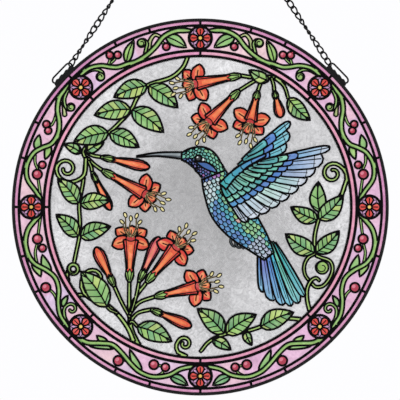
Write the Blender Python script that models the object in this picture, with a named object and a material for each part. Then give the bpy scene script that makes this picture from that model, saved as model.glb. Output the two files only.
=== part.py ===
"""Round stained glass panel that hangs from a ring on two runs of chain.

The panel stands in the XZ plane and its front faces -Y. The origin is the hanging point, on the inside
of the top ring where a hook bears. The picture is laid out in shares of the radius of its round field,
with X to the right and Y up, and is set upright when each plate of glass is made.
"""

import math

import bmesh
import bpy
from mathutils import Matrix, Vector

MM = 0.001
COLLECTION = "stained_glass_panel"
HELPERS = "cutters_and_guides"

# Panel, from the edge inwards
PANEL_DIAMETER = 300 * MM
RIM_WIDTH = 2.1 * MM
RIM_DEPTH = 6.0 * MM
OUTER_BAND_WIDTH = 3.0 * MM
OUTER_LEAD_WIDTH = 1.5 * MM
BORDER_WIDTH = 17.8 * MM
MIDDLE_LEAD_WIDTH = 2.1 * MM
INNER_BAND_WIDTH = 2.95 * MM
INNER_LEAD_WIDTH = 1.6 * MM
LEAD_DEPTH = 4.4 * MM
GLASS_THICKNESS = 3.0 * MM
JOINT_GAP = 0.3 * MM
SEAM = 0.6 * MM
RING_SIDES = 48
ROSETTE_COUNT = 8
ROSETTE_SIDES = 14

# Hanging parts
CHAIN_RISE = 272 * MM
TOP_RING_DIAMETER = 16 * MM
TOP_RING_WIRE = 1.6 * MM
LOOP_LENGTH = 22 * MM
LOOP_WIDTH = 8.8 * MM
LOOP_WIRE = 1.6 * MM
LOOP_TURN = math.radians(45.9)
LOOP_TILT = math.radians(55)
CHAIN_WIRE = 1.1 * MM
CHAIN_PITCH = 6.1 * MM
CHAIN_LINK_WIDTH = 4.9 * MM
CHAIN_TWIST = math.radians(25)
CHAIN_PLAY = 0.5 * MM
LINK_CORNER = 0.62
# A curb link's corners, in shares of its half length, half width and half width again for its twist
LINK_SHAPE = [(1, 0.5, 0.5), (0, 1, 0), (-1, 0.5, -0.5), (-1, -0.5, 0.5), (0, -1, 0), (1, -0.5, -0.5)]

# Radii and heights that follow
PANEL_RADIUS = PANEL_DIAMETER / 2
OUTER_BAND_RADIUS = PANEL_RADIUS - RIM_WIDTH
OUTER_LEAD_RADIUS = OUTER_BAND_RADIUS - OUTER_BAND_WIDTH
BORDER_RADIUS = OUTER_LEAD_RADIUS - OUTER_LEAD_WIDTH
MIDDLE_LEAD_RADIUS = BORDER_RADIUS - BORDER_WIDTH
INNER_BAND_RADIUS = MIDDLE_LEAD_RADIUS - MIDDLE_LEAD_WIDTH
INNER_LEAD_RADIUS = INNER_BAND_RADIUS - INNER_BAND_WIDTH
PICTURE_RADIUS = INNER_LEAD_RADIUS - INNER_LEAD_WIDTH
ROSETTE_ORBIT = BORDER_RADIUS - BORDER_WIDTH / 2
ROSETTE_RADIUS = BORDER_WIDTH / 2 - 2 * JOINT_GAP
RING_CENTRE = Vector((0, 0, TOP_RING_WIRE - TOP_RING_DIAMETER / 2))
PANEL_CENTRE = RING_CENTRE - Vector((0, 0, CHAIN_RISE))

# Picture, in shares of PICTURE_RADIUS
BEAK = [(-0.425, 0.338), (-0.28, 0.352), (-0.10, 0.343)]
BEAK_HALF_WIDTHS = [0.004, 0.012, 0.024]
BIRD_SPINE = [(-0.125, 0.338), (-0.055, 0.338), (0.02, 0.312), (0.08, 0.235), (0.125, 0.12),
              (0.19, 0.0), (0.28, -0.12), (0.38, -0.23), (0.46, -0.33)]
BIRD_HALF_WIDTHS = [0.022, 0.060, 0.086, 0.082, 0.105, 0.130, 0.118, 0.082, 0.042]
THROAT = 0.40
NEAR_WING = {"shoulder": (0.155, 0.13), "wrist": (0.40, 0.30), "tips": [(0.87, 0.40), (0.66, 0.05), (0.31, -0.10)],
             "feathers": 10, "lead_bulge": 0.05}
FAR_WING = {"shoulder": (0.19, 0.17), "wrist": (0.33, 0.36), "tips": [(0.60, 0.57), (0.60, 0.38), (0.44, 0.22)],
            "feathers": 6, "lead_bulge": 0.025}
TAIL = {"shoulder": (0.40, -0.22), "wrist": (0.50, -0.24), "tips": [(0.70, -0.60), (0.60, -0.74), (0.42, -0.57)],
        "feathers": 6, "lead_bulge": 0.015}
FEATHER_NOTCH = 0.945
# Each flower and bud: calyx, mouth or tip, and width of the tube
FLOWERS = [("flower_top_left", (0.27, 0.88), (-0.03, 0.825), 0.082),
           ("flower_top_middle", (0.26, 0.78), (0.06, 0.575), 0.086),
           ("flower_top_right", (0.385, 0.775), (0.335, 0.575), 0.078),
           ("flower_left", (-0.655, 0.245), (-0.375, 0.09), 0.084),
           ("flower_bottom_left", (-0.475, -0.50), (-0.465, -0.215), 0.09),
           ("flower_bottom_middle", (-0.36, -0.505), (-0.165, -0.275), 0.09),
           ("flower_bottom_right", (-0.305, -0.60), (-0.02, -0.535), 0.086)]
BUDS = [("bud_top", (0.495, 0.775), (0.54, 0.60), 0.066),
        ("bud_left", (-0.665, 0.335), (-0.34, 0.265), 0.07),
        ("bud_bottom_left", (-0.575, -0.53), (-0.70, -0.27), 0.076),
        ("bud_bottom_right", (-0.33, -0.685), (-0.06, -0.80), 0.074)]
PETAL_TURNS = [-108, -54, 0, 54, 108]
PETAL_REACH = [0.125, 0.115, 0.085, 0.115, 0.125]
PETAL_SPREAD = 17
# Each pair: where the leaves meet and the two tips. Each single leaf: base, tip and the way it bends
LEAF_PAIRS = [("leaves_top_1", (-0.35, 0.815), (-0.15, 0.665), (-0.58, 0.735)),
              ("leaves_top_2", (-0.46, 0.655), (-0.245, 0.50), (-0.71, 0.615)),
              ("leaves_top_3", (-0.61, 0.50), (-0.41, 0.40), (-0.85, 0.43)),
              ("leaves_left_1", (-0.81, 0.02), (-0.60, 0.045), (-0.955, 0.19)),
              ("leaves_left_2", (-0.81, -0.20), (-0.60, -0.13), (-0.965, -0.05)),
              ("leaves_bottom", (0.165, -0.85), (0.375, -0.72), (-0.02, -0.68)),
              ("leaves_right_1", (0.77, -0.31), (0.57, -0.18), (0.93, -0.16)),
              ("leaves_right_2", (0.79, -0.09), (0.605, 0.0), (0.955, 0.08))]
SINGLE_LEAVES = [("leaf_bottom_left", (-0.625, -0.665), (-0.80, -0.43), -1),
                 ("leaf_bottom", (-0.42, -0.80), (-0.19, -0.90), 1),
                 ("leaf_bottom_right", (0.405, -0.80), (0.625, -0.705), 1),
                 ("leaf_top_right", (0.59, 0.725), (0.735, 0.58), -1)]
LEAF_WIDTH = 0.50
LEAF_BEND = 0.05
LEAF_STEPS = 4
LEAF_NECK = 0.010
PAIR_NECK = 0.016
CUTTER_STEP = 0.2 * MM

BLACK = ((0.012, 0.012, 0.013), 0.45, 0.7)
LEAD = ((0.015, 0.015, 0.016), 0.5, 0.5)
GLASS_COLOURS = {"pink": (0.80, 0.30, 0.55), "rose": (0.86, 0.36, 0.45), "pale_pink": (0.86, 0.58, 0.72),
                 "red": (0.80, 0.06, 0.05), "ground": (0.55, 0.56, 0.56), "beak": (0.10, 0.13, 0.15),
                 "head": (0.10, 0.55, 0.36), "body": (0.10, 0.42, 0.62), "wing": (0.22, 0.60, 0.70),
                 "far_wing": (0.18, 0.50, 0.66), "tail": (0.12, 0.34, 0.62), "flower": (0.86, 0.16, 0.06),
                 "bud": (0.85, 0.10, 0.08), "leaf": (0.26, 0.50, 0.14)}


def clear_scene():
    for old in list(bpy.data.objects):
        bpy.data.objects.remove(old, do_unlink=True)


def new_collection(name):
    group = bpy.data.collections.new(name)
    bpy.context.scene.collection.children.link(group)
    return group


def principled(name, colour, roughness, metallic, alpha=1.0):
    material = bpy.data.materials.new(name)
    material.use_nodes = True
    shader = material.node_tree.nodes["Principled BSDF"]
    shader.inputs["Base Color"].default_value = (*colour, 1.0)
    shader.inputs["Roughness"].default_value = roughness
    shader.inputs["Metallic"].default_value = metallic
    shader.inputs["Alpha"].default_value = alpha
    material.diffuse_color = (*colour, alpha)
    return material


def glass(colour_name):
    name = "glass_" + colour_name
    return bpy.data.materials.get(name) or principled(name, GLASS_COLOURS[colour_name], 0.12, 0.0, 0.85)


# Outlines in the picture's own plane

def circle(radius, count):
    """Corners of a ring or a disc, from the right and round to the left."""
    return [Vector((math.cos(a), math.sin(a))) * radius for a in (math.tau * i / count for i in range(count))]


def smooth(points, share):
    """A point on the smooth curve through all the given values, at a share of its way from 0 to 1."""
    place = min(max(share, 0.0), 1.0) * (len(points) - 1)
    i = min(int(place), len(points) - 2)
    t = place - i
    near, far = points[i], points[i + 1]
    before = points[i - 1] if i > 0 else near * 2 - far
    after = points[i + 2] if i + 2 < len(points) else far * 2 - near
    return (near * 2 + (far - before) * t + (before * 2 - near * 5 + far * 4 - after) * t**2
            + (near * 3 - before - far * 3 + after) * t**3) / 2


def across(direction):
    return Vector((-direction.y, direction.x)).normalized()


def spine_outline(spine, half_widths, first, last, steps):
    """Outline of a form that has a bent spine and a width that changes along it."""
    line = [Vector(p) for p in spine]
    left, right = [], []
    for i in range(steps + 1):
        share = first + (last - first) * i / steps
        side = across(smooth(line, share + 0.01) - smooth(line, share - 0.01))
        reach = smooth([Vector((w, 0)) for w in half_widths], share).x
        centre = smooth(line, share)
        left.append(centre + side * reach)
        right.append(centre - side * reach)
    return right + left[::-1]


def bow(ends, share):
    """A point on the curve from the first end to the last that leans to the middle point."""
    first, lean, last = (Vector(p) for p in ends)
    return first * (1 - share)**2 + lean * 2 * share * (1 - share) + last * share**2


def feather_fan(fan):
    """Outline of a wing or a tail: a smooth leading edge and a row of feather tips with notches between."""
    shoulder, wrist = Vector(fan["shoulder"]), Vector(fan["wrist"])
    tip = Vector(fan["tips"][0])
    lead = (shoulder + tip) / 2 + across(tip - shoulder) * fan["lead_bulge"] * 2
    outline = [bow((shoulder, lead, tip), share) for share in (0.0, 0.2, 0.4, 0.6, 0.8)]
    count = fan["feathers"]
    for i in range(count):
        share = i / (count - 1)
        outline.append(bow(fan["tips"], share))
        if i < count - 1:
            notch = (i + 0.62) / (count - 1)
            hub = wrist.lerp(shoulder, notch)
            outline.append(hub + (bow(fan["tips"], notch) - hub) * FEATHER_NOTCH)
    return outline[::-1]


def leaf_sides(base, tip, neck, bend):
    """The two edges of a leaf, each from its base to its tip."""
    base, tip = Vector(base), Vector(tip)
    along = tip - base
    side = across(along) * along.length
    edges = []
    for sign in (1, -1):
        edge = []
        for i in range(LEAF_STEPS):
            share = i / LEAF_STEPS
            half = LEAF_WIDTH / 2 * math.sin(math.pi * share**0.72)
            midline = base + along * share + side * LEAF_BEND * bend * math.sin(math.pi * share)
            edge.append(midline + side * half * sign + across(along) * sign * neck * (1 - share)**2)
        edges.append(edge)
    return edges[0], edges[1], tip


def leaf(base, tip, bend):
    left, right, point = leaf_sides(base, tip, LEAF_NECK, bend)
    return right + [point] + left[::-1]


def leaf_pair(base, first_tip, second_tip):
    """Two leaves that grow from one point of the stem."""
    base, first_tip, second_tip = Vector(base), Vector(first_tip), Vector(second_tip)
    half_angle = (first_tip - base).angle(second_tip - base) / 2
    shift = PAIR_NECK * (0.8 + 1 / math.tan(half_angle))
    outline = []
    for tip, bend in ((first_tip, 1), (second_tip, -1)):
        start = base + (tip - base).normalized() * shift
        left, right, point = leaf_sides(start, tip, PAIR_NECK, bend)
        outline += right + [point] + left[::-1]
    return outline


def along_axis(start, end, stations):
    """Places shares of the length along and across the way from one point to another."""
    start, end = Vector(start), Vector(end)
    axis = end - start
    side = across(axis)
    return [start + axis * u + side * v for u, v in stations]


def bud(base, tip, width):
    half = width / 2
    edge = [(0.0, half * 0.42), (0.15, half * 0.80), (0.22, half * 0.52), (0.72, half), (0.92, half * 0.72)]
    return along_axis(base, tip, [(u, -v) for u, v in edge] + [(1.0, 0.0)] + [(u, v) for u, v in edge[::-1]])


def trumpet_flower(base, mouth, width):
    """Calyx, a tube that widens, and five petals that turn back round its mouth."""
    half = width / 2
    edge = [(0.0, half * 0.42), (0.16, half * 0.74), (0.24, half * 0.50), (0.90, half)]
    outline = along_axis(base, mouth, [(u, -v) for u, v in edge])
    axis = (Vector(mouth) - Vector(base)).normalized()
    centre = Vector(mouth)
    for i, turn in enumerate(PETAL_TURNS):
        for lean in (-PETAL_SPREAD, PETAL_SPREAD):
            outline.append(centre + turned(axis, turn + lean) * PETAL_REACH[i] * 0.97)
        if i < len(PETAL_TURNS) - 1:
            outline.append(centre + turned(axis, (turn + PETAL_TURNS[i + 1]) / 2) * PETAL_REACH[i] * 0.68)
    return outline + along_axis(base, mouth, [(u, v) for u, v in edge[::-1]])


def turned(direction, degrees):
    angle = math.radians(degrees)
    return Vector((direction.x * math.cos(angle) - direction.y * math.sin(angle),
                   direction.x * math.sin(angle) + direction.y * math.cos(angle)))


def facet_point(radius, angle):
    """The point at this angle on the many-sided ring of this radius."""
    pitch = math.tau / RING_SIDES
    reach = radius * math.cos(pitch / 2) / math.cos(angle % pitch - pitch / 2)
    return Vector((math.cos(angle), math.sin(angle))) * reach


def border_pane(index):
    """One pane between two rosettes, with ends hollowed to fit round them."""
    clearance = ROSETTE_RADIUS + SEAM
    pitch = math.tau / ROSETTE_COUNT
    start, end = index * pitch, (index + 1) * pitch

    def arc(radius):
        """From the first rosette to the second along one lead ring."""
        reach = math.acos((radius**2 + ROSETTE_ORBIT**2 - clearance**2) / (2 * radius * ROSETTE_ORBIT))
        facet = math.tau / RING_SIDES
        turns = [facet * i for i in range(RING_SIDES + 1) if start + reach < facet * i < end - reach]
        return [facet_point(radius, angle) for angle in [start + reach, *turns, end - reach]]

    def hollow(turn, side):
        """The end's inside points on the circle round the rosette, from the outer edge inwards."""
        out = Vector((math.cos(turn), math.sin(turn)))
        return [out * ROSETTE_ORBIT + (out * math.cos(a) + across(out) * side * math.sin(a)) * clearance
                for a in (math.radians(d) for d in (55, 90, 125))]

    outer, inner = arc(BORDER_RADIUS - JOINT_GAP), arc(MIDDLE_LEAD_RADIUS + JOINT_GAP)
    return outer + hollow(end, -1) + inner[::-1] + hollow(start, 1)[::-1]


def outset(outline, distance):
    """The outline moved outwards, so that a joint stays open round the piece."""
    area = sum(a.cross(b) for a, b in zip(outline, outline[1:] + outline[:1]))
    sign = -1 if area > 0 else 1
    moved = []
    for before, here, after in zip(outline[-1:] + outline[:-1], outline, outline[1:] + outline[:1]):
        first, second = across(here - before) * sign, across(after - here) * sign
        middle = first + second
        middle = first if middle.length < 0.2 else middle.normalized()
        moved.append(here + middle * distance / max(middle.dot(first), 0.45))
    return moved


# Solids

def upright():
    """Sets the picture's plane upright, with the panel's centre under the hanging point."""
    return Matrix.Translation(PANEL_CENTRE) @ Matrix.Rotation(math.pi / 2, 4, "X")


def mesh_of(curve_object):
    """The curve's shape as a closed mesh, with the curve itself removed."""
    bpy.context.view_layer.update()
    evaluated = curve_object.evaluated_get(bpy.context.evaluated_depsgraph_get())
    mesh = bpy.data.meshes.new_from_object(evaluated)
    shape = bmesh.new()
    shape.from_mesh(mesh)
    bmesh.ops.remove_doubles(shape, verts=shape.verts, dist=0.000001)
    bmesh.ops.dissolve_limit(shape, angle_limit=math.radians(0.1), verts=[], edges=shape.edges)
    bmesh.ops.recalc_face_normals(shape, faces=shape.faces)
    shape.to_mesh(mesh)
    shape.free()
    bpy.data.objects.remove(curve_object, do_unlink=True)
    return mesh


def plate(name, outlines, thickness, material, group):
    """A flat plate from one outline, and from further outlines as holes, stood upright in the panel."""
    curve = bpy.data.curves.new(name, "CURVE")
    curve.dimensions = "2D"
    curve.fill_mode = "BOTH"
    curve.extrude = thickness / 2
    for outline in outlines:
        spline = curve.splines.new("POLY")
        spline.points.add(len(outline) - 1)
        for point, place in zip(spline.points, outline):
            point.co = (place.x, place.y, 0, 1)
        spline.use_cyclic_u = True
    flat = bpy.data.objects.new(name + "_outline", curve)
    group.objects.link(flat)
    piece = bpy.data.objects.new(name, mesh_of(flat))
    piece.matrix_world = upright()
    piece.data.materials.clear()
    piece.data.materials.append(material)
    group.objects.link(piece)
    return piece


def ring(name, outer, inner, thickness, material, group):
    return plate(name, [circle(outer, RING_SIDES), circle(inner, RING_SIDES)], thickness, material, group)


def cutter(name, outline, order, helpers):
    """A hidden plate, larger than the piece by the seam and thicker than the glass and the cutter before it."""
    grown = [p * PICTURE_RADIUS for p in outline]
    thickness = GLASS_THICKNESS * 2 + CUTTER_STEP * order
    shape = plate("cut_" + name, [outset(grown, SEAM)], thickness, glass("ground"), helpers)
    shape.display_type = "WIRE"
    shape.hide_render = True
    shape.hide_set(True)
    return shape


def cut(piece, operand):
    modifier = piece.modifiers.new("cut_" + operand.name, "BOOLEAN")
    modifier.operation = "DIFFERENCE"
    modifier.solver = "EXACT"
    if isinstance(operand, bpy.types.Collection):
        modifier.operand_type = "COLLECTION"
        modifier.collection = operand
    else:
        modifier.object = operand


def wire_mesh(points, wire, sides, guides):
    """A closed wire through the points, with a section of few sides and the wire's own area."""
    corner = wire / 2 * math.sqrt(math.tau / sides / math.sin(math.tau / sides))
    section = bpy.data.curves.new("wire_section", "CURVE")
    section_spline = section.splines.new("POLY")
    section_spline.points.add(sides - 1)
    for point, place in zip(section_spline.points, circle(corner, sides)):
        point.co = (place.x, place.y, 0, 1)
    section_spline.use_cyclic_u = True
    guide = bpy.data.objects.new("wire_section", section)
    guide.hide_render = True
    guides.objects.link(guide)
    path = bpy.data.curves.new("wire_path", "CURVE")
    path.dimensions = "3D"
    path.bevel_mode = "OBJECT"
    path.bevel_object = guide
    spline = path.splines.new("POLY")
    spline.points.add(len(points) - 1)
    for point, place in zip(spline.points, points):
        point.co = (*place, 1)
    spline.use_cyclic_u = True
    run = bpy.data.objects.new("wire_path", path)
    guides.objects.link(run)
    mesh = mesh_of(run)
    bpy.data.objects.remove(guide, do_unlink=True)
    return mesh


def wire_object(name, mesh, material, group):
    mesh.materials.clear()
    mesh.materials.append(material)
    piece = bpy.data.objects.new(name, mesh)
    group.objects.link(piece)
    return piece


def build_rings(group):
    black = principled("black_metal", *BLACK)
    lead = principled("lead", *LEAD)
    ring("rim", PANEL_RADIUS, OUTER_BAND_RADIUS, RIM_DEPTH, black, group)
    ring("outer_band", OUTER_BAND_RADIUS - JOINT_GAP, OUTER_LEAD_RADIUS + JOINT_GAP, GLASS_THICKNESS,
         glass("pink"), group)
    ring("outer_lead", OUTER_LEAD_RADIUS, BORDER_RADIUS, LEAD_DEPTH, lead, group)
    ring("middle_lead", MIDDLE_LEAD_RADIUS, INNER_BAND_RADIUS, LEAD_DEPTH, lead, group)
    ring("inner_band", INNER_BAND_RADIUS - JOINT_GAP, INNER_LEAD_RADIUS + JOINT_GAP, GLASS_THICKNESS,
         glass("rose"), group)
    ring("inner_lead", INNER_LEAD_RADIUS, PICTURE_RADIUS, LEAD_DEPTH, lead, group)


def build_border(group):
    for index in range(ROSETTE_COUNT):
        plate(f"border_pane_{index + 1}", [border_pane(index)], GLASS_THICKNESS, glass("pale_pink"), group)
        turn = math.tau * index / ROSETTE_COUNT
        centre = Vector((math.cos(turn), math.sin(turn))) * ROSETTE_ORBIT
        outline = [centre + point for point in circle(ROSETTE_RADIUS, ROSETTE_SIDES)]
        plate(f"rosette_{index + 1}", [outline], GLASS_THICKNESS, glass("red"), group)


def picture_outlines():
    """Every figure of the picture from back to front: name, colour and outline."""
    figures = [("bird_far_wing", "far_wing", feather_fan(FAR_WING)),
               ("bird_tail", "tail", feather_fan(TAIL)),
               ("bird_beak", "beak", spine_outline(BEAK, BEAK_HALF_WIDTHS, 0.0, 1.0, 3)),
               ("bird_body", "body", spine_outline(BIRD_SPINE, BIRD_HALF_WIDTHS, THROAT - 0.06, 1.0, 8)),
               ("bird_head", "head", spine_outline(BIRD_SPINE, BIRD_HALF_WIDTHS, 0.0, THROAT, 6)),
               ("bird_near_wing", "wing", feather_fan(NEAR_WING))]
    figures += [(name, "flower", trumpet_flower(*rest)) for name, *rest in FLOWERS]
    figures += [(name, "bud", bud(*rest)) for name, *rest in BUDS]
    figures += [(name, "leaf", leaf_pair(*rest)) for name, *rest in LEAF_PAIRS]
    figures += [(name, "leaf", leaf(*rest)) for name, *rest in SINGLE_LEAVES]
    return figures


def build_picture(group, helpers):
    """Figures fit edge to edge: a figure is cut by those in front of it, and the ground by all of them."""
    cutters = bpy.data.collections.new("figure_cutters")
    helpers.children.link(cutters)
    bird = []
    for order, (name, colour, outline) in enumerate(picture_outlines()):
        piece = plate(name, [[p * PICTURE_RADIUS for p in outline]], GLASS_THICKNESS, glass(colour), group)
        shape = cutter(name, outline, order, cutters)
        if name.startswith("bird"):
            bird.append((piece, shape))
    ground = plate("clear_ground", [circle(PICTURE_RADIUS - JOINT_GAP, RING_SIDES)], GLASS_THICKNESS,
                   glass("ground"), group)
    for order, (piece, _) in enumerate(bird):
        for _, shape in bird[order + 1:]:
            cut(piece, shape)
    cut(ground, cutters)


def loop_frame(side):
    """Centre of a hanging loop, its long direction towards the top, and its short direction."""
    out = Vector((side * math.sin(LOOP_TURN), 0, math.cos(LOOP_TURN)))
    upward = Vector((-side * math.cos(LOOP_TURN), 0, math.sin(LOOP_TURN)))
    short = out * math.cos(LOOP_TILT) + Vector((0, -1, 0)) * math.sin(LOOP_TILT)
    reach = (LOOP_WIDTH - LOOP_WIRE) / 2 * math.cos(LOOP_TILT)
    centre = PANEL_CENTRE + out * (PANEL_RADIUS + JOINT_GAP + LOOP_WIRE * 0.55 + reach)
    return centre, upward, short


def build_loop(name, side, group, helpers):
    centre, upward, short = loop_frame(side)
    long_half, short_half = (LOOP_LENGTH - LOOP_WIRE) / 2, (LOOP_WIDTH - LOOP_WIRE) / 2
    straight = long_half - short_half
    points = []
    for step in range(12):
        angle = math.tau * (step + 0.5) / 12
        shift = straight if math.sin(angle) > 0 else -straight
        points.append(centre + upward * (shift + short_half * math.sin(angle)) + short * short_half * math.cos(angle))
    wire_object(name, wire_mesh(points, LOOP_WIRE, 5, helpers), bpy.data.materials["black_metal"], group)


def build_top_ring(group, helpers):
    radius = (TOP_RING_DIAMETER - TOP_RING_WIRE) / 2
    points = [RING_CENTRE + Vector((p.x, 0, p.y)) for p in circle(radius, 14)]
    wire_object("top_ring", wire_mesh(points, TOP_RING_WIRE, 5, helpers), bpy.data.materials["black_metal"], group)


def link_section(corners, here, centre):
    """Three corners of the wire's section at one corner of a link, with a flat side to the link's inside."""
    run = (corners[(here + 1) % len(corners)] - corners[here - 1]).normalized()
    out = corners[here] - centre
    out = (out - run * out.dot(run)).normalized()
    side = run.cross(out)
    return [corners[here] + (out * math.cos(a) + side * math.sin(a)) * CHAIN_WIRE * LINK_CORNER
            for a in (0, math.tau / 3, -math.tau / 3)]


def add_link(shape, centre, along, wide, length):
    """Adds one link's wire, and returns the inside faces of its lower and its upper end."""
    thick = along.cross(wide)
    half_width = (CHAIN_LINK_WIDTH - CHAIN_WIRE) / 2
    corners = [centre + along * length / 2 * u + (wide * v + thick * w) * half_width for u, v, w in LINK_SHAPE]
    sections = [[shape.verts.new(p) for p in link_section(corners, i, centre)] for i in range(len(corners))]
    inside = []
    for first, second in zip(sections, sections[1:] + sections[:1]):
        for i in range(3):
            face = shape.faces.new((first[i], second[i], second[i - 2], first[i - 2]))
            if i == 1:
                inside.append(face)
    return inside[2], inside[5]


def fuse(shape, first, second):
    """Joins two faces that meet, corner to nearest corner, in place of the faces."""
    loop = [v for v in first.verts]
    turns = [[second.verts[(start - i) % 4] for i in range(4)] for start in range(4)]
    match = min(turns, key=lambda turn: sum((a.co - b.co).length for a, b in zip(loop, turn)))
    shape.faces.remove(first)
    shape.faces.remove(second)
    for i in range(4):
        shape.faces.new((loop[i], loop[(i + 1) % 4], match[(i + 1) % 4], match[i]))


def build_chain(name, side, group):
    """A straight, taut run of curb links from a hanging loop to the top ring, turning slowly on its way."""
    centre, upward, short = loop_frame(side)
    low = centre + upward * (LOOP_LENGTH - LOOP_WIRE) / 2
    along = (RING_CENTRE - low).normalized()
    high = RING_CENTRE - along * (TOP_RING_DIAMETER - TOP_RING_WIRE) / 2
    start = low - along * ((LOOP_WIRE + CHAIN_WIRE) / 2 + CHAIN_PLAY)
    end = high + along * ((TOP_RING_WIRE + CHAIN_WIRE) / 2 + CHAIN_PLAY)
    span = (end - start).length - CHAIN_WIRE
    count = round(span / CHAIN_PITCH)
    pitch = span / count
    flat = along.cross(Vector((0, 1, 0)))
    first = short.cross(along).normalized()
    first_turn = math.atan2(first.y, first.dot(flat))
    half_turns = round((first_turn + CHAIN_TWIST * (count - 1)) / math.pi - 0.5)
    twist = (math.pi * (half_turns + 0.5) - first_turn) / (count - 1)
    shape = bmesh.new()
    below = None
    for index in range(count):
        turn = first_turn + twist * index
        wide = flat * math.cos(turn) + Vector((0, 1, 0)) * math.sin(turn)
        middle = start + along * (pitch * index + (pitch + CHAIN_WIRE) / 2)
        lower, upper = add_link(shape, middle, along, wide, pitch + CHAIN_WIRE)
        if below:
            fuse(shape, below, lower)
        below = upper
    bmesh.ops.recalc_face_normals(shape, faces=shape.faces)
    mesh = bpy.data.meshes.new(name)
    shape.to_mesh(mesh)
    shape.free()
    wire_object(name, mesh, bpy.data.materials["black_metal"], group)


def main():
    clear_scene()
    group = new_collection(COLLECTION)
    helpers = new_collection(HELPERS)
    build_rings(group)
    build_border(group)
    build_top_ring(group, helpers)
    for side_name, side in (("left", -1), ("right", 1)):
        build_loop(f"{side_name}_hanging_loop", side, group, helpers)
        build_chain(f"{side_name}_chain", side, group)
    build_picture(group, helpers)


main()
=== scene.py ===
"""Looks for the round stained glass panel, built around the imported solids.

Each glazed area is drawn as a pattern of flat shapes from back to front. The pattern is cut into the cells
that show, the cells become plates of glass, and the edges between them become lead and painted lines.
Lengths are in metres, apart from the shares of the picture's radius in which the figures are laid out.
"""

import math
import random

import bmesh
import bpy
from mathutils import Matrix, Vector
from mathutils.geometry import delaunay_2d_cdt


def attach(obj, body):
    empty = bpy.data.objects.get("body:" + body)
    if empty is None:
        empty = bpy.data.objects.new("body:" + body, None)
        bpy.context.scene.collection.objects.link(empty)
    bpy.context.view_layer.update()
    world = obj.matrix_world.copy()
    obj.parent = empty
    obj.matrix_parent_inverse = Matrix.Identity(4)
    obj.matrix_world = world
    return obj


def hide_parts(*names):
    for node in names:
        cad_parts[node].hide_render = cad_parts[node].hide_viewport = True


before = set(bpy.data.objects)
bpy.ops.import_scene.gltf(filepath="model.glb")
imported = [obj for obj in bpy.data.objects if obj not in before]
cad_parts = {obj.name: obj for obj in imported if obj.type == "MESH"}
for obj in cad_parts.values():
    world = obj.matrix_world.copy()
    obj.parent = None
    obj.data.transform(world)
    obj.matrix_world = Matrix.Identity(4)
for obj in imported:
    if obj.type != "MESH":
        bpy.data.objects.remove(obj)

bl_info = {
    "name": "Round stained glass panel",
    "version": (1, 0, 0),
    "blender": (4, 5, 0),
    "location": "3D View > Sidebar > Glass Panel",
    "description": "Builds the glass, lead, paint and chain of a round hanging panel",
    "category": "Add Mesh",
}

MM = 0.001
BODY = "root"
OPENING = "opening"

# The panel's own sizes, as in the solids
PANEL_RADIUS = 150 * MM
OUTER_BAND_RADIUS = 147.9 * MM
OUTER_LEAD_RADIUS = 144.9 * MM
BORDER_RADIUS = 143.4 * MM
MIDDLE_LEAD_RADIUS = 125.6 * MM
INNER_BAND_RADIUS = 123.5 * MM
INNER_LEAD_RADIUS = 120.55 * MM
PICTURE_RADIUS = 118.95 * MM
RIM_DEPTH = 6.0 * MM
LEAD_DEPTH = 4.4 * MM
GLASS_THICKNESS = 3.0 * MM
ROSETTE_ORBIT = (BORDER_RADIUS + MIDDLE_LEAD_RADIUS) / 2
ROSETTE_RADIUS = 8.8 * MM
ROSETTE_LEAD = 2.5 * MM
JOINT_GAP = 0.3 * MM
CHAIN_RISE = 272 * MM
TOP_RING_DIAMETER = 16 * MM
TOP_RING_WIRE = 1.6 * MM
LOOP_LENGTH = 22 * MM
LOOP_WIDTH = 8.8 * MM
LOOP_WIRE = 1.6 * MM
LOOP_TURN = math.radians(45.9)
LOOP_TILT = math.radians(55)
CHAIN_WIRE = 1.1 * MM
LINK_WIRE = 1.35 * MM
CHAIN_PITCH = 6.1 * MM
LINK_WIDTH = 5.4 * MM
CHAIN_TWIST = math.radians(25)
CHAIN_PLAY = 0.5 * MM
WIRE_EASE = 0.14 * MM
RING_CENTRE = Vector((0, 0, TOP_RING_WIRE - TOP_RING_DIAMETER / 2))
PANEL_CENTRE = RING_CENTRE - Vector((0, 0, CHAIN_RISE))

# The figures, in shares of the picture's radius
BEAK = [(-0.425, 0.338), (-0.28, 0.352), (-0.10, 0.343)]
BEAK_HALF_WIDTHS = [0.004, 0.012, 0.024]
BIRD_SPINE = [
    (-0.125, 0.338), (-0.055, 0.338), (0.02, 0.312), (0.08, 0.235), (0.125, 0.12), (0.19, 0.0), (0.28, -0.12),
    (0.38, -0.23), (0.46, -0.33),
]
BIRD_HALF_WIDTHS = [0.022, 0.060, 0.086, 0.082, 0.105, 0.130, 0.118, 0.082, 0.042]
THROAT = 0.40
EYE = (-0.013, 0.326)
CHEEK = [
    (-0.045, 0.312), (-0.01, 0.302), (0.045, 0.297), (0.095, 0.262), (0.108, 0.232), (0.06, 0.243),
    (0.01, 0.268), (-0.045, 0.312),
]
CLAWS = [
    ((0.215, -0.20), (0.203, -0.232), (0.222, -0.262), (0.248, -0.258)),
    ((0.248, -0.21), (0.236, -0.244), (0.256, -0.272), (0.282, -0.266)),
    ((0.276, -0.235), (0.270, -0.258), (0.290, -0.278)),
]
WING_EDGE = [(0.150, 0.138), (0.22, 0.215), (0.31, 0.285), (0.43, 0.345)]
NEAR_WING = {
    "shoulder": (0.155, 0.13),
    "wrist": (0.40, 0.30),
    "tips": [(0.87, 0.40), (0.66, 0.05), (0.31, -0.10)],
    "feathers": 10,
    "lead_bulge": 0.05,
}
FAR_WING = {
    "shoulder": (0.19, 0.17),
    "wrist": (0.33, 0.36),
    "tips": [(0.60, 0.57), (0.60, 0.38), (0.44, 0.22)],
    "feathers": 6,
    "lead_bulge": 0.025,
}
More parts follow.
